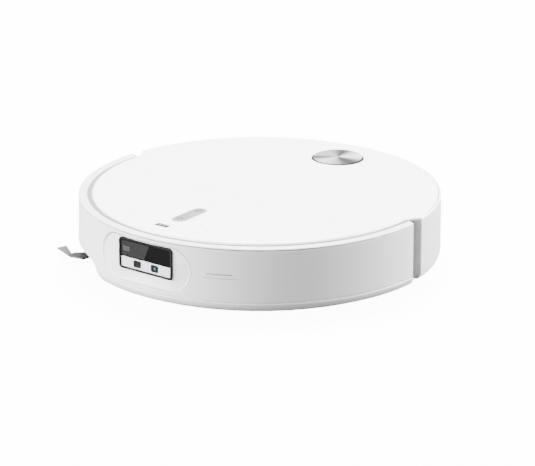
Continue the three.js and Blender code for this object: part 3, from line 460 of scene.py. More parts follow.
def capsule(centre, half_width, half_length, steps=20):
    """Points round an upright capsule in plan."""
    ring = []
    for start, shift in ((0.0, half_length - half_width), (math.pi, half_width - half_length)):
        for k in range(steps + 1):
            a = start + math.pi * k / steps
            ring.append((centre[0] + half_width * math.cos(a), centre[1] + shift + half_width * math.sin(a)))
    return ring


def circle(centre, r, steps):
    turns = [2 * math.pi * k / steps for k in range(steps)]
    return [(centre[0] + r * math.cos(a), centre[1] + r * math.sin(a)) for a in turns]


def rounded(half_w, low, high, r, count, inset=0.0):
    """Points round a rectangle with round corners, in x and z, from the bottom middle. They are spaced evenly
    on the outline itself and then moved in by the inset."""
    h = (high - low) / 2
    mid = (high + low) / 2
    flat, side, arc = half_w - r, 2 * (h - r), math.pi * r / 2
    half_way = 2 * flat + side + 2 * arc
    ring = []
    for k in range(count):
        s = 2 * half_way * k / count
        flip = 1 if s < half_way else -1
        s -= 0 if s < half_way else half_way
        if s <= flat:
            u, v = s, inset - h
        elif s <= flat + arc:
            a = (s - flat) / r
            u, v = flat + (r - inset) * math.sin(a), r - h - (r - inset) * math.cos(a)
        elif s <= flat + arc + side:
            u, v = half_w - inset, s - flat - arc + r - h
        elif s <= flat + side + 2 * arc:
            a = (s - flat - arc - side) / r
            u, v = flat + (r - inset) * math.cos(a), h - r + (r - inset) * math.sin(a)
        else:
            u, v = half_way - s, h - inset
        ring.append((flip * u, mid + flip * v))
    return ring


def prism(ring, low, high, soften=0.0):
    """Upright solid from a plan outline; its top edge may be softened."""
    levels = [(0.0, low), (0.0, high - soften)]
    if soften > 0:
        levels += [(soften * 0.3, high - soften * 0.3), (soften, high)]
    cx = sum(p[0] for p in ring) / len(ring)
    cy = sum(p[1] for p in ring) / len(ring)
    rings = []
    for inset, z in levels:
        shrunk = []
        for x, y in ring:
            d = math.hypot(x - cx, y - cy)
            k = (d - inset) / d
            shrunk.append((cx + (x - cx) * k, cy + (y - cy) * k, z))
        rings.append(shrunk)
    return stack(rings)


# ---------- top ----------
def cover_radius(degrees):
    """The cover is narrower inside the bumper and steps out to the rear shell."""
    turn = abs(degrees)
    step = lerp(COVER_FRONT, COVER_REAR, smooth(93.2, 99.4, turn))
    return step + 0.5 * math.exp(-((turn - 92.5) / 3.0) ** 2)


def smoothed_radius(degrees):
    return sum(cover_radius(degrees + k * 0.35) for k in range(-2, 3)) / 5


def seam_angle(r_of, inset):
    """Angle, from the front, where the seam arc meets the cover's edge."""
    low, high = 70.0, 92.0
    for _ in range(40):
        mid = (low + high) / 2
        x, y = polar(r_of(mid), mid)
        if math.hypot(x, y - SEAM_Y) > SEAM_R + inset:
            low = mid
        else:
            high = mid
    return (low + high) / 2


def seam_points(x0, x1, radius, steps=60):
    ring = []
    for k in range(steps + 1):
        x = lerp(x0, x1, k / steps)
        ring.append((x, SEAM_Y - math.sqrt(radius ** 2 - x * x)))
    return ring


def half_cover(front, inset, gap=0.4):
    """Outline of the front deck or of the rear cover; along the seam the inset counts less."""
    r_of = lambda a: smoothed_radius(a) - inset
    back = gap + inset * 0.15
    radius = SEAM_R + back if front else SEAM_R - back
    a = seam_angle(r_of, back if front else -back)
    x, _ = polar(r_of(a), a)
    if front:
        ring = [polar(r_of(lerp(-a, a, k / 120)), lerp(-a, a, k / 120)) for k in range(120)]
        return ring + seam_points(x, -x, radius)[:-1]
    turns = [a + (360 - 2 * a) * k / 240 for k in range(240)]
    ring = [polar(r_of(t if t <= 180 else t - 360), t) for t in turns]
    return ring + seam_points(-x, x, radius)[:-1]


def rolled_edge(x, y):
    """How far a cover has rolled down: widely towards the rim, a little at the seam."""
    reach = smoothed_radius(math.degrees(math.atan2(x, -y)))
    rear = smooth(COVER_FRONT, COVER_REAR, reach)
    t = 1 - max(0.0, reach - math.hypot(x, y)) / lerp(3.3, 2.0, rear)
    roll = lerp(2.7, 1.25, rear) * (1 - math.sqrt(1 - t * t)) if t > 0 else 0.0
    seam = abs(math.hypot(x, y - SEAM_Y) - SEAM_R) - 0.4
    return max(roll, 0.45 * max(0.0, 1 - seam / 0.5) ** 2)


def cover_under(x, y):
    """The covers are hollow inside their thick outer band."""
    return lerp(dome(x, y) - 2.2, COVER_LOW, smooth(146, 149, math.hypot(x, y)))


MIC_RADIUS = 28.8
mic_turns = [math.radians(a) for a in (0, 120, 240)]
mic_holes = [(MIC_RADIUS * math.sin(a), BUTTON_Y + MIC_RADIUS * math.cos(a)) for a in mic_turns]


def hole(centre, r, steps=14):
    return lambda inset: circle(centre, r + inset * 0.5, steps)


deck_outlines = [lambda inset: half_cover(True, inset),
                 lambda inset: capsule((0, BUTTON_Y), BEZEL_HALF + 0.3 + inset, BEZEL_LENGTH + 0.3 + inset)]
deck_outlines += [hole(c, 1.15) for c in mic_holes]
rear_outlines = [lambda inset: half_cover(False, inset),
                 lambda inset: circle((0, LIDAR_Y), CAP_R + 1.4 + inset, 96)]
for name, outlines, body, node in (("Front_Deck", deck_outlines, "chassis", "front_deck"),
                                   ("Rear_Cover", rear_outlines, "rear_lid", "rear_cover")):
    plate = plan_plate(outlines, rolled_edge, cover_under)
    piece(name, *plate, WHITE_SATIN, body, [node], "white_satin")

for k, (x, y) in enumerate(mic_holes):
    low = cover_under(x, y) - 1.6
    piece(f"Microphone_{k + 1}", *prism(circle((x, y), 1.6, 16), low, low + 1.5, 0.2), BLACK, "chassis")

bezel_rings = []
for inset, z in ((0, -2.6), (0, 0.1), (0.15, 0.26), (0.6, 0.3), (0.85, 0.2), (0.95, -0.1), (0.95, -2.6)):
    ring = capsule((0, BUTTON_Y), BEZEL_HALF - inset, BEZEL_LENGTH - inset)
    bezel_rings.append([on_dome(x, y, z) for x, y in ring])
piece("Button_Bezel", *tube(bezel_rings), BUTTON_RING, "chassis", ["button_bezel"], "grey_plastic")


KEY_GAP, KEY_MIDDLE, STEM_PLACE, SIGN_PLACE = 0.22, 10.6, 11, 13.5


def button_key(side):
    """One half of the capsule, slightly crowned, with its plunger."""
    half = BEZEL_HALF - 1.25
    full = capsule((0, BUTTON_Y), half, BEZEL_LENGTH - 1.25, 16)
    split = BUTTON_Y + side * KEY_GAP
    ring = [(x, y if (y - split) * side > 0 else split) for x, y in full]
    ring = [p for k, p in enumerate(ring) if (p[1] - split) * side > 0 or abs(p[0]) > half - 0.05]
    cx, cy = 0.0, BUTTON_Y + side * KEY_MIDDLE
    crown = ((1.0, -2.6), (1.0, -0.25), (0.985, 0.05), (0.94, 0.2), (0.8, 0.3), (0.5, 0.36), (0.2, 0.38))
    rings = []
    for shrink, z in crown:
        rings.append([on_dome(cx + (x - cx) * shrink, cy + (y - cy) * shrink, z) for x, y in ring])
    place = (0, BUTTON_Y + side * STEM_PLACE)
    stem = spin([(0, 64), (1.9, 64), (2.0, 64.3), (2.0, 75.2), (0, 75.2)], 16, place)
    return merged(stack(rings), stem)


def ring_icon(name, centre, body, gap_from=65, gap_to=115):
    """Thin printed ring with a gap and a short bar: a plain sign on a key."""
    verts = []
    steps = 28
    lift = 0.42
    for k in range(steps + 1):
        a = math.radians(lerp(gap_to, gap_from + 360, k / steps))
        for r in (1.9, 3.2):
            x, y = centre[0] + r * math.cos(a), centre[1] + r * math.sin(a)
            verts.append(on_dome(x, y, lift))
    faces = ring_faces(steps + 1, 2)
    mid = math.radians((gap_from + gap_to) / 2)
    base = len(verts)
    for along, across in ((0.6, -0.5), (3.2, -0.5), (3.2, 0.5), (0.6, 0.5)):
        x = centre[0] + along * math.cos(mid) - across * math.sin(mid)
        y = centre[1] + along * math.sin(mid) + across * math.cos(mid)
        verts.append(on_dome(x, y, lift))
    faces.append((base, base + 1, base + 2, base + 3))
    sign = piece(name, verts, faces, ICON, body)
    sign.modifiers.new("thickness", "SOLIDIFY").thickness = 0.06 * MM


for side, node, body in ((1, "power_button", "power_key"), (-1, "dock_button", "dock_key")):
    name = "Power_Button" if side > 0 else "Dock_Button"
    piece(name, *button_key(side), BUTTON, body, [node], "button_grey")
    ring_icon(name + "_Sign", (0, BUTTON_Y + side * SIGN_PLACE), body)

MARK_FRONT, MARK_BACK, MARK_LEAN = -148.2, -141.4, 0.6
blocks = []
for x0, x1 in ((-9.4, -4.8), (-4.2, 0.4), (1.0, 5.6)):
    ring = [(x0, MARK_FRONT), (x1, MARK_FRONT), (x1 + MARK_LEAN, MARK_BACK), (x0 + MARK_LEAN, MARK_BACK)]
    verts, faces = prism(fillet(ring, 0.6), 0.02, 0.1, 0.02)
    blocks.append(([on_dome(*p) for p in verts], faces))
piece("Deck_Mark", *merged(*blocks), MARK, "chassis")

cap_top = [(-0.4, 79.3), (-0.15, 79.45), (0.0, 79.7), (0.0, 80.2), (-0.08, 80.36), (-0.25, 80.44),
           (-0.6, 80.46), (-9, 80.48), (-17, 80.5)]
cap = [(0, 79.3)] + [(CAP_R + inset, z) for inset, z in cap_top] + [(0, 80.52)]
kinds = [1 if k % (len(cap) - 1) < 5 else 0 for k in range(128 * (len(cap) - 1))]
piece("Scanner_Cap", *spin(cap, 128, (0, LIDAR_Y)), [SPUN, BLACK], "turret", ["lidar_cap"], "brushed_metal",
      sharp=60, face_mats=kinds)
collar = []
for d, z in ((0.25, -2.1), (1.3, -2.1), (1.35, -0.35), (1.2, -0.15), (0.4, -0.1), (0.25, -0.2)):
    collar.append([on_dome(x, y, z) for x, y in circle((0, LIDAR_Y), CAP_R + d, 96)])
piece("Scanner_Collar", *tube(collar), BLACK, "rear_lid")


# ---------- bumper ----------
def arch_height(degrees):
    """Lower edge of the bumper where it rises over the side brush."""
    if degrees > ARCH[0][0] or degrees <= ARCH_FOOT:
        return LIP_LOW
    for (a0, z0), (a1, z1) in zip(ARCH, ARCH[1:]):
        if degrees >= a1:
            t = (degrees - a0) / (a1 - a0)
            return lerp(z0, z1, t)
    if degrees > ARCH_END:
        return ARCH[-1][1]
    return lerp(ARCH[-1][1], LIP_LOW, smooth(ARCH_END, ARCH_FOOT, degrees))


def smooth_arch(degrees):
    return sum(arch_height(degrees + k * 0.25) for k in range(-3, 4)) / 7


def flare(degrees, z):
    """The wall swells a little over the side brush."""
    across = smooth(-17, -27, degrees) * (1 - smooth(-70, -80, degrees))
    return 1.0 * across * (1 - smooth(24, 56, z))


def wall_point(degrees, z, depth=0.0):
    x, y = polar(BODY_R + flare(degrees, z) - depth, degrees)
    return (x, y, z)


STADIUM = {"x": middle("sensor_bezel", 0), "half": box("sensor_bezel")[1][0] - middle("sensor_bezel", 0),
           "low": box("sensor_bezel")[0][2], "high": box("sensor_bezel")[1][2] + 0.4}


def stadium(inset, count):
    """Points round the recess in x and z."""
    low, high = STADIUM["low"], STADIUM["high"]
    ring = rounded(STADIUM["half"], low, high, (high - low) / 2, count, inset)
    return [(x + STADIUM["x"], z) for x, z in ring]


PATCH_X = 70.0
SIDE_ROWS = 30
TOP_COLUMNS = 70


def patch_border():
    """Points round the front patch of the skin, from the bottom middle, in x and z."""
    half = TOP_COLUMNS // 2
    ring = [(PATCH_X * k / half, SKIN_LOW) for k in range(half)]
    ring += [(PATCH_X, lerp(SKIN_LOW, SKIN_HIGH, k / SIDE_ROWS)) for k in range(SIDE_ROWS)]
    ring += [(PATCH_X - 2 * PATCH_X * k / TOP_COLUMNS, SKIN_HIGH) for k in range(TOP_COLUMNS)]
    ring += [(-PATCH_X, lerp(SKIN_HIGH, SKIN_LOW, k / SIDE_ROWS)) for k in range(SIDE_ROWS)]
    ring += [(-PATCH_X + PATCH_X * k / half, SKIN_LOW) for k in range(half)]
    return ring


def on_wall(x, z, depth):
    return wall_point(math.degrees(math.asin(x / BODY_R)), z, depth)


def skin_surface():
    """Outer face of the bumper: a patch round the recess, then a grid on each side of it."""
    border = patch_border()
    count = len(border)
    verts = []
    rolled = [(1.2, 0.0), (0.5, 0.05), (0.2, 0.2), (0.05, 0.5)]
    for depth, inset in rolled:
        verts += [on_wall(x, z, depth) for x, z in stadium(-inset - 0.35, count)]
    hole = stadium(-1.0, count)
    rings = 12
    for i in range(rings + 1):
        t = (i / rings) ** 1.3
        verts += [on_wall(lerp(hx, bx, t), lerp(hz, bz, t), 0.0) for (hx, hz), (bx, bz) in zip(hole, border)]
    faces = ring_faces(len(rolled) + rings + 1, count, close_columns=True)
    edge = math.degrees(math.asin(PATCH_X / BODY_R))
    last = end_angle(BODY_R)
    for side in (1, -1):
        base = len(verts)
        columns = 150
        for j in range(columns + 1):
            a = side * lerp(edge, last, j / columns)
            low = max(SKIN_LOW, smooth_arch(a))
            for i in range(SIDE_ROWS + 1):
                z = lerp(low, SKIN_HIGH, i / SIDE_ROWS)
                verts.append(wall_point(a, z))
        faces += [tuple(k + base for k in f) for f in ring_faces(columns + 1, SIDE_ROWS + 1)]
    return verts, faces


def apply_modifiers(obj):
    graph = bpy.context.evaluated_depsgraph_get()
    made = bpy.data.meshes.new_from_object(obj.evaluated_get(graph))
    obj.modifiers.clear()
    obj.data = made


def check_outward(obj):
    """Turns a wall's faces outward, judged by the sum over them."""
    total = sum(p.normal.dot(Vector((p.center.x, p.center.y, 0))) * p.area for p in obj.data.polygons)
    if total < 0:
        obj.data.flip_normals()


def thicken(obj, thickness, bevel):
    """Gives a surface its wall, with rounded edges, and applies it."""
    thick = obj.modifiers.new("wall", "SOLIDIFY")
    thick.thickness = thickness * MM
    thick.offset = -1
    edge = obj.modifiers.new("edge", "BEVEL")
    edge.width = bevel * MM
    edge.segments = 2
    edge.limit_method = "ANGLE"
    edge.angle_limit = math.radians(50)
    edge.use_clamp_overlap = True
    apply_modifiers(obj)


skin = piece("Bumper_Skin", *skin_surface(), WHITE_WALL, "bumper", ["bumper_skin"], "white_matte")
check_outward(skin)
thicken(skin, 2.2, 0.25)

rim = [(159.5, 74.6), (171.0, 74.6), (171.3, 75.2), (174.5, 75.2), (174.85, 75.3), (175.0, 75.6),
       (174.75, 76.05), (174.2, 76.55), (173.3, 77.0), (172.0, 77.2), (169.4, 77.15), (168.3, 76.9),
       (166.8, 75.9), (165.6, 75.3), (159.5, 75.2)]
painted_shade_sides = (0, 1, 2, 3, 12, 13, 14)  # underside and the ledge beside the cover, dark grey as painted shade in the groove
kinds = [int(k % len(rim) in painted_shade_sides) for k in range(300 * len(rim))] + [0, 0]
piece("Bumper_Rim", *sweep(rim, lambda r: -end_angle(r), end_angle, 300), [RIM_WHITE_PAINTED_SHADE, GROOVE_PAINTED_SHADE], "bumper",
      ["bumper_rim"], "white_satin", face_mats=kinds)


def lip_mesh(start, end, steps):
    """Lower edge of the bumper; over the side brush it is cut away along the arch."""
    section = [(171.0, 23.3), (171.0, 15.35), (171.4, LIP_LOW), (172.3, 15.6), (173.4, 16.4), (174.3, 17.6),
               (174.9, 19.0), (175.25, 20.2), (175.45, 21.2), (175.5, 21.9), (175.38, 22.5), (175.05, 23.0),
               (174.6, 23.3)]
    thinnest = 23.25
    rings = []
    for i in range(steps + 1):
        ring = []
        for r, z in section:
            a = lerp(start(r), end(r), i / steps)
            z = max(z, min(smooth_arch(a), thinnest))
            ring.append((*polar(r + flare(a, z) * 0.6, a), z))
        rings.append(ring)
    return stack(rings)


arch_foot, arch_back = -23.3, -70.3
for name, lip in (("Bumper_Lip", lip_mesh(lambda r: arch_foot, end_angle, 260)),
                  ("Bumper_Lip_End", lip_mesh(lambda r: -end_angle(r), lambda r: arch_back, 50))):
    piece(name, *lip, LIP_GREY, "bumper", [name.lower()], "grey_plastic")


# ---------- front sensors ----------
window_low, window_high = box("window_frame")
WINDOW = {"half": window_high[0], "low": window_low[2], "high": window_high[2]}
FACE = window_low[1]


def scoop():
    """Soft hollow from the recess's edge in to the window."""
    count = 200
    inner = rounded(WINDOW["half"] + 0.25, WINDOW["low"] - 0.25, WINDOW["high"] + 0.25, 3.4, count)
    verts = []
    edge = [(0.0, 2.4), (0.0, 1.0), (0.05, 0.5), (0.2, 0.25)]
    for inset, depth in edge:
        verts += [on_wall(x, z, depth) for x, z in stadium(inset, count)]
    start = stadium(0.3, count)
    rings = 16
    for i in range(rings + 1):
        t = i / rings
        for (ox, oz), (ix, iz) in zip(start, inner):
            x, z = lerp(ox, ix, t), lerp(oz, iz, t)
            wall = on_wall(x, z, 0.15)
            step = wall[1] + 0.6 * min(1.0, t / 0.06)
            y = lerp(step, max(FACE + 1.8, wall[1] + 1.3), smooth(-0.4, 1.0, t) * min(1.0, t / 0.1))
            verts.append((wall[0], y, z))
    for x, z in inner:
        verts.append((x, FACE + 3.2, z))
    faces = ring_faces(len(edge) + rings + 2, count, close_columns=True)
    return verts, faces


verts, faces = scoop()
kinds = [int(k < 400) for k in range(len(faces))]  # its outer side, which lines the gap, is dark grey as painted shade in the gap
bezel = piece("Sensor_Bezel", verts, faces, [WHITE_WALL, GROOVE_PAINTED_SHADE], "bumper", ["sensor_bezel"], "white_matte",
              face_mats=kinds)
check_outward(bezel)


def upright(levels):
    """Outlines in x and z, each set up at its own y."""
    return [[(x, y, z) for x, z in ring] for ring, y in levels]


def window_ring(grow, r, count=120):
    return rounded(WINDOW["half"] + grow, WINDOW["low"] - grow, WINDOW["high"] + grow, r, count)


frame_section = ((0, 3.2, 2.6), (0, 3.2, 0.3), (-0.1, 3.1, 0.1), (-0.35, 2.9, 0), (-1.5, 2.1, 0),
                 (-1.75, 1.9, 0.12), (-1.8, 1.8, 0.35), (-1.8, 1.8, 2.6))  # growth, corner radius, depth
frame_rings = upright([(window_ring(grow, r), FACE + depth) for grow, r, depth in frame_section])
piece("Window_Frame", *tube(frame_rings), BLACK, "bumper", ["window_frame"], "black_plastic")


def flat_pane(ring, y, thickness=1.6, soften=0.12):
    """Flat pane seen from the front, its outline in x and z."""
    cx = sum(p[0] for p in ring) / len(ring)
    cz = sum(p[1] for p in ring) / len(ring)

    front = []
    for x, z in ring:
        share = soften / max(1e-6, math.hypot(x - cx, z - cz))
        front.append((lerp(x, cx, share), lerp(z, cz, share)))
    return stack(upright([(ring, y + thickness), (ring, y + soften), (front, y)]))


SPLIT = box("window_panel")[1][2] + 0.15
BORDER = 1.85
half_in = WINDOW["half"] - BORDER
head = WINDOW["high"] - BORDER
foot = WINDOW["low"] + BORDER


def half_window(straight, curved):
    """Outline of one pane, its corners rounded at the curved end."""
    way = 1 if curved > straight else -1
    right = [(half_in, curved - 1.4 * way), (half_in - 0.5, curved - 0.45 * way), (half_in - 1.5, curved)]
    return [(-half_in, straight), (half_in, straight)] + right + [(-x, z) for x, z in right[::-1]]


upper = half_window(SPLIT + 0.15, head)
piece("Window_Glass", *flat_pane(upper, FACE + 1.1, 0.9), GLASS_BLACK, "bumper", ["window_glass"],
      "black_glass")
smoked = [(0.3 - half_in, SPLIT + 1.1), (-2.2, SPLIT + 1.1), (4.0, head - 1.2), (1.9 - half_in, head - 1.2),
          (0.8 - half_in, head - 1.6), (0.3 - half_in, head - 2.4)]
piece("Window_Smoke", *flat_pane(smoked, FACE + 1.02, 0.06, 0.01), GLASS_GREY, "bumper")
glow = fillet([(-27.6, 56.0), (-19.6, 56.0), (-19.6, 60.9), (-27.6, 60.9)], 0.9)
piece("Window_Emitter", *flat_pane(glow, FACE + 0.96, 0.04, 0.01), EMITTER, "bumper")
lower = half_window(SPLIT - 0.15, foot)
piece("Window_Panel", *flat_pane(lower, FACE + 1.2, 0.8), SILVER, "bumper", ["window_panel"], "silver_panel")


def eye(node, inset, corner):
    """Outline of a lens, in x and z."""
    (x0, _, z0), (x1, _, z1) = box(node)
    half_z = (z1 - z0) / 2 - inset
    ring = rounded((x1 - x0) / 2 + 0.5 - inset, -half_z, half_z, corner, 40)
    return [((x0 + x1) / 2 + u, (z0 + z1) / 2 + v) for u, v in ring]


# inset, corner radius and depth of each outline
lens_section = ((-0.3, 1.4, 1.6), (-0.3, 1.4, 0.98), (1.0, 1.1, 0.86), (1.6, 0.8, 1.05))
for side, mat in (("right", LENS_DARK), ("left", LENS_BLUE)):
    node = "lens_" + side
    mesh = stack(upright([(eye(node, inset, corner), FACE + depth) for inset, corner, depth in lens_section]))
    kinds = [0] * 80 + [1] * 40 + [0, 1]
    piece(node.title(), *mesh, [LENS_RIM, mat], "bumper", [node], "lens_glass", face_mats=kinds)

x, z = middle("lens_left", 0), middle("lens_left", 2)
# a small teal square on the left lens, a painted highlight
painted_glint = fillet([(x - 0.7, z - 1.2), (x + 1.7, z - 1.2), (x + 1.7, z + 1.5), (x - 0.7, z + 1.5)], 0.5)
piece("Lens_Painted_Glint", *flat_pane(painted_glint, FACE + 0.8, 0.04, 0.01), LENS_PAINTED_GLINT, "bumper")

wall_lines = ((50.3, 22.0, 30.0, 1.2, PRINT), (46.6, 20.6, 32.0, 0.9, PRINT_FAINT))
for k, (z, start, end, height, mat) in enumerate(wall_lines):
    verts = []
    for i in range(25):
        a = lerp(start, end, i / 24)
        verts += [wall_point(a, z + dz, -0.05) for dz in (-height / 2, height / 2)]
    line = piece(f"Wall_Line_{k + 1}", verts, ring_faces(25, 2), mat, "bumper")
    check_outward(line)


# ---------- rear shell ----------
shell_profile = [(166.8, 17.4), (166.8, 15.6), (170.4, 15.6), (171.6, 15.9), (172.6, 16.6), (173.5, 17.8),
                 (174.2, 19.2), (174.7, 20.6), (174.95, 22.2), (175.0, 24), (175.0, 40), (175.0, 60),
                 (175.0, 74.2), (174.95, 75.3), (174.75, 76.1), (174.35, 76.7), (173.9, 76.95), (173.3, 77.0),
                 (172.85, 76.8), (172.65, 76.4), (172.6, 75.8), (172.6, 22.4), (171.8, 20), (170.4, 18.3),
                 (168.6, 17.5)]
shell = piece("Rear_Wall", *sweep(shell_profile, SHELL_START, 360 - SHELL_START, 322), WHITE_WALL, "chassis",
              ["side_shell"], "white_matte")


def carve(obj, verts, faces):
    """Cuts a solid away from an object."""
    tool = linked_object("Cutter", mesh_of("Cutter", verts, faces))
    cut = obj.modifiers.new("cut", "BOOLEAN")
    cut.object = tool
    cut.solver = "EXACT"
    apply_modifiers(obj)
    bpy.data.objects.remove(tool)
    obj.data.set_sharp_from_angle(angle=math.radians(35))


def slot_ring(degrees, low, high, half, r):
    """Upright outline with round ends, facing outward at an angle and a radius."""
    t = math.radians(degrees)
    flat = capsule((0, (low + high) / 2), half, (high - low) / 2, 8)
    return [(math.sin(t) * r + math.cos(t) * u, math.sin(t) * u - math.cos(t) * r, z) for u, z in flat]


def radial_prism(degrees, low, high, half, r0, r1):
    """Upright slot with round ends through the wall at an angle."""
    return stack([slot_ring(degrees, low, high, half, r) for r in (r0, r1)])


CONTACT_TURN = 10.9
slots = merged(*[radial_prism(143.5 + 2.5 * k, 34, 60, 1.5, 168, 180) for k in range(7)],
               *[radial_prism(180 - side * CONTACT_TURN, 25.7, 44.3, 6.3, 168, 180) for side in (1, -1)])
carve(shell, *slots)

ends = []
for side in (1, -1):
    ring = [(162.0, 15.8), (171.0, 15.9), (173.0, 18.6), (173.0, 75.2), (162.0, 75.2)]
    start, end = (SHELL_START, SHELL_START + 1.1) if side > 0 else (-SHELL_START - 1.1, -SHELL_START)
    ends.append(sweep(ring, start, end, 3))
piece("Rear_Wall_Ends", *merged(*ends), WHITE_WALL, "chassis")

for side, node in ((1, "charge_contact_left"), (-1, "charge_contact_right")):
    levels = []
    for grow, r in ((0.0, 173.2), (0.0, 174.9), (-0.25, 175.15), (-0.8, 175.28)):
        levels.append(slot_ring(180 - side * CONTACT_TURN, 26 - grow, 44 + grow, 6.0 + grow, r))
    piece(node.title(), *stack(levels), CONTACT, "chassis", [node], "contact_metal")

SIDE_WINDOW_TURN = -84.5
side_window = []
for r, grow in ((173.0, 0), (174.85, 0), (174.95, -0.15)):
    flat = rounded(10.6 + grow, 40 - grow, 56 + grow, 2.2, 48)
    side_window.append([(*polar(r, SIDE_WINDOW_TURN + math.degrees(u / BODY_R)), z) for u, z in flat])
piece("Wall_Sensor_Window", *stack(side_window), GLASS_BLACK, "bumper", ["wall_sensor_window"], "black_glass")


# ---------- underside and running gear ----------
def round_axle(centre, x, r, angle):
    """Point at a radius round a crosswise axle."""
    return x, centre[1] + r * math.cos(angle), centre[2] + r * math.sin(angle)


WHEEL = joint_place("left_wheel_spin")


def tyre_mesh(side):
    """Tyre with chevron treads and rounded shoulders."""
    steps = 144
    half = 9.5
    treads, tread_share, tread_depth = 24, 0.36, 1.5
    section = [(-half, 27.2), (-half, 32.2), (-half + 0.5, 33.2), (-half + 1.6, 33.9), (-half + 3.2, 34.0),
               (-3.2, 34.0), (0, 34.0), (3.2, 34.0), (half - 3.2, 34.0), (half - 1.6, 33.9),
               (half - 0.5, 33.2), (half, 32.2), (half, 27.2), (half - 0.6, 26.6), (-half + 0.6, 26.6)]
    rings = []
    for i in range(steps):
        ring = []
        for u, r in section:
            phase = (i / steps * treads + abs(u) * 0.05 * side) % 1.0
            groove = tread_depth if (r > 33 and abs(u) > 1.0 and phase < tread_share) else 0.0
            ring.append(round_axle(WHEEL, side * WHEEL[0] + u, r - groove, 2 * math.pi * i / steps))
        rings.append(ring)
    return tube(rings)


def hub_mesh(side):
    """Dished hub with six spokes of moulded depth."""
    steps = 72
    section = ((26.2, -8), (26.2, 8.6), (25.4, 9.0), (22.5, 9.0), (21.5, 6.6), (20.5, 5.6), (12.0, 5.6),
               (10.5, 6.2), (9.5, 7.6), (4.0, 8.0), (0.0, 8.0), (0.0, -8))  # radius, distance outward
    rings = []
    for i in range(steps):
        a = 2 * math.pi * i / steps
        gap = smooth(0.35, 0.6, 0.5 - 0.5 * math.cos(6 * a))
        ring = []
        for r, out in section:
            dip = 3.4 * gap if 11 < r < 21.4 else 0
            ring.append(round_axle(WHEEL, side * (WHEEL[0] + out - dip), r, a))
        rings.append(ring)
    return tube(rings)


for side, prefix in ((1, "left"), (-1, "right")):
    body = prefix + "_wheel"
    title = prefix.capitalize()
    piece(title + "_Tyre", *tyre_mesh(side), RUBBER, body, [prefix + "_tyre"], "rubber", sharp=30)
    piece(title + "_Hub", *hub_mesh(side), GREY, body, [prefix + "_hub"], "grey_plastic")

caster_half = [(0, 7.0), (9.0, 7.0), (10.6, 6.6), (12.0, 5.2), (12.8, 3.2)]
caster_ring = [(r, -x) for r, x in caster_half] + [(13.0, 0)] + caster_half[::-1]
caster_axle = joint_place("caster_roll")[1:]
wheel = spin(caster_ring, 48, caster_axle, "X")
axle = spin([(0, -13.5), (2.0, -13.5), (2.0, 13.5), (0, 13.5)], 20, caster_axle, "X")
piece("Caster_Wheel", *merged(wheel, axle), RUBBER, "caster_roller", ["caster_wheel"], "rubber")


ROLLER = joint_place("roller_spin")


def roller_mesh(side):
    """Tapering half roller: soft core with twisted blades."""
    steps = 60
    around = 120
    core, tip, taper_end = 12.6, 21.4, 17.4 / 21.5
    blades, twist = 5, 100
    near, far = 1.2, 83.8
    rings = []
    for i in range(steps + 1):
        t = i / steps
        taper = lerp(1, taper_end, max(0.0, (t - 0.12) / 0.88))
        ring = []
        for k in range(around):
            share = (k / around * blades) % 1.0
            blade = max(0.0, 1 - abs(share - 0.5) / 0.085)
            r = lerp(core, tip, min(1.0, blade * 1.5)) * taper
            a = math.radians(twist * t * side + 360 * k / around)
            ring.append(round_axle(ROLLER, side * lerp(near, far, t), r, a))
        rings.append(ring)
    end = 96.3 if side > 0 else 89.3
    shaft = [(0, side * 83), (3.9, side * 83), (3.9, side * end), (0, side * end)]
    return merged(stack(rings), spin(shaft, 20, ROLLER[1:], "X"))


for side, name in ((-1, "Roller_Right"), (1, "Roller_Left")):
    piece(name, *roller_mesh(side), RUBBER, "rollers", [name.lower()], "rubber", sharp=45)


BRUSH = joint_place("sweeper_spin")[:2]
hub_levels = [(12.5, 11.2), (12.5, 12.3), (12.2, 12.45), (9.4, 12.45), (7.9, 12.1), (7.3, 11.2), (7.2, 9.5),
              (7.2, 5.0), (7.6, 4.4), (7.6, 0.01)]  # height, radius
hub = stack([[(x, y, z) for x, y in circle(BRUSH, r, 40)] for z, r in hub_levels], close_last=False)
stem = spin([(0, 12.4), (3.9, 12.4), (3.9, 20), (0, 20)], 20, BRUSH)
piece("Side_Brush_Hub", *merged(hub, stem), BLACK, "sweeper", ["side_brush"], "brush_grey")


def blade_z(x):
    """The paddles hang down towards their tips."""
    return 10.9 - 0.083 * x


def paddle(turn):
    """Ribbed rubber paddle with its kinked, swept-back end, one solid sheet with a raised rim."""
    lower = [(9, -5.2), (18, -6.4), (24, -7.6), (25.4, -8.0), (31, -9.2), (37, -10.6), (46.3, -5.3),
             (48, -1.6), (59, -11.3), (71, -20.9)]
    upper = [(9, 2.4), (18, 0.6), (24, -1.2), (25, 7.6), (31, 7.2), (37, 6.8), (42.3, 6.5), (45.4, 4.8),
             (60, -3.3), (74.8, -11)]
    across = 10
    fine = 6
    ca, sa = math.cos(turn), math.sin(turn)
    verts = []
    rows = (len(lower) - 1) * fine + 1
    for i in range(rows):
        n = min(i // fine, len(lower) - 2)
        t = (i - n * fine) / fine
        ax, ay = (lerp(lower[n][axis], lower[n + 1][axis], t) for axis in (0, 1))
        bx, by = (lerp(upper[n][axis], upper[n + 1][axis], t) for axis in (0, 1))
        for k in range(across + 1):
            u = k / across
            x, y = lerp(ax, bx, u), lerp(ay, by, u)
            rim_lift = 0.2 if k in (0, across) else 0.0
            rib = 0.175 * math.cos(u * 6 * math.pi) if x < 40 else 0.11 * math.cos(u * 10 * math.pi)
            z = blade_z(x) + rim_lift + rib
            verts.append((BRUSH[0] + x * ca - y * sa, BRUSH[1] + x * sa + y * ca, z))
    return verts, ring_faces(rows, across + 1), rows, across


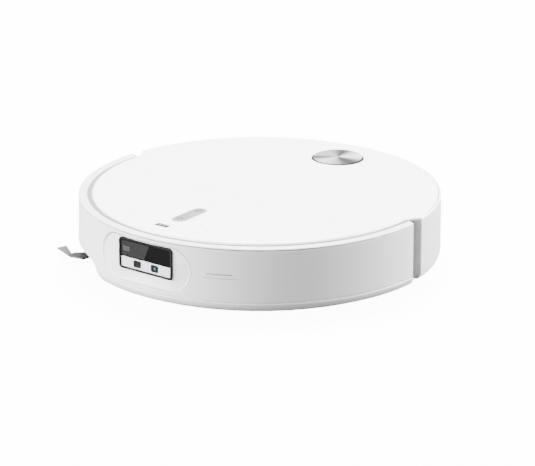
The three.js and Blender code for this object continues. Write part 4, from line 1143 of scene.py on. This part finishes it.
for n, turn in enumerate((math.pi, 0.0)):
    verts, faces, rows, across = paddle(turn)
    kinds = [int(i >= (rows - 1) * 0.77) for i in range(rows - 1) for _ in range(across)]
    blade = piece(f"Side_Brush_Paddle_{n + 1}", verts, faces, [PADDLE, PADDLE_TIP], "sweeper",
                  slot="brush_grey", face_mats=kinds)
    solid = blade.modifiers.new("sheet", "SOLIDIFY")
    solid.thickness = 1.5 * MM
    solid.offset = 0
    apply_modifiers(blade)


# ---------- carried-over CAD nodes ----------
FINISH = {
    UNDER_BLACK: ["base_tray", "battery_door", "brush_housing", "camera_module", "left_drive_unit",
                  "right_drive_unit", "caster_fork", "fan_housing", "bump_sensor_left", "bump_sensor_right"],
    GREY: ["upper_frame", "brush_guard", "gear_cover", "dustbin_lid", "lidar_guide", "left_wheel_housing",
           "right_wheel_housing", "side_brush_motor"],
    BLACK: ["lidar_tower", "lidar_rotor"],
    GLASS_BLACK: ["cliff_sensor_front_left", "cliff_sensor_front_right", "cliff_sensor_side_left",
                  "cliff_sensor_side_right"],
    BOARD: ["circuit_board"],
    WRAP: ["battery_pack"],
    STEEL: ["brush_motor"],
    NYLON: ["idler_gear", "motor_pinion", "fan_impeller"],
    SMOKED: ["dustbin"],
    PAPER: ["dust_filter"],
}
for mat, names in FINISH.items():
    for name in names:
        node = frame["nodes"][name]
        node.data.materials.clear()
        node.data.materials.append(mat)


# ---------- floor, light, camera ----------
def floor():
    """Plain pale floor, bright of itself like a lit sheet, with a faint shadow."""
    cells = 24
    half = 6
    places = [lerp(-half, half, k / cells) for k in range(cells + 1)]
    mesh = bpy.data.meshes.new("Floor")
    mesh.from_pydata([(x, y, 0.0) for x in places for y in places], [], ring_faces(cells + 1, cells + 1))
    sheet = material("floor_white", (0.3, 0.3, 0.3), 0.9, mottle=0.002, grain=300, bump=0.0, specular=0.0)
    shader = sheet.node_tree.nodes["Principled BSDF"]
    shader.inputs["Emission Color"].default_value = (1, 1, 1, 1)
    shader.inputs["Emission Strength"].default_value = 12.0
    mesh.materials.append(sheet)
    obj = linked_object("Floor", mesh)
    obj.visible_diffuse = False
    obj.visible_glossy = False


floor()


TARGET = Vector((0, 0, 0.04))


def soft_light(name, degrees, height, distance, size, power):
    """Soft box standing round the object, at an angle from the front towards +X, in metres."""
    data = bpy.data.lights.new(name, "AREA")
    data.shape = "RECTANGLE"
    data.size, data.size_y = size
    data.energy = power
    lamp = linked_object(name, data)
    lamp.location = (*polar(distance, degrees), height)
    lamp.rotation_euler = (TARGET - lamp.location).to_track_quat("-Z", "Y").to_euler()


soft_light("Top_Soft", 200, 2.6, 0.5, (1.5, 1.5), 560)
soft_light("Left_Soft", -48, 0.75, 2.2, (1.6, 1.0), 260)
soft_light("Front_Soft", 12, 0.7, 2.6, (1.0, 0.8), 50)
soft_light("Back_Soft", 148, 0.8, 2.2, (1.8, 1.0), 300)

world = bpy.data.worlds.new("Studio")
bpy.context.scene.world = world
world.use_nodes = True
world.node_tree.nodes["Background"].inputs["Color"].default_value = (1, 1, 1, 1)
world.node_tree.nodes["Background"].inputs["Strength"].default_value = 0.3

AZIMUTH, ELEVATION, DISTANCE = math.radians(38.52), math.radians(18.57), 3.534
side, front = polar(math.cos(ELEVATION), math.degrees(AZIMUTH))
back = Vector((side, front, math.sin(ELEVATION)))
camera_data = bpy.data.cameras.new("Camera")
camera_data.sensor_width = 36
camera_data.lens = 245.419
camera_data.shift_x = 0.014019
camera_data.shift_y = -0.01215
camera_data.clip_end = 50
camera = linked_object("Camera", camera_data)
camera.location = TARGET + back * DISTANCE
camera.rotation_euler = (-back).to_track_quat("-Z", "Y").to_euler()
bpy.context.scene.camera = camera
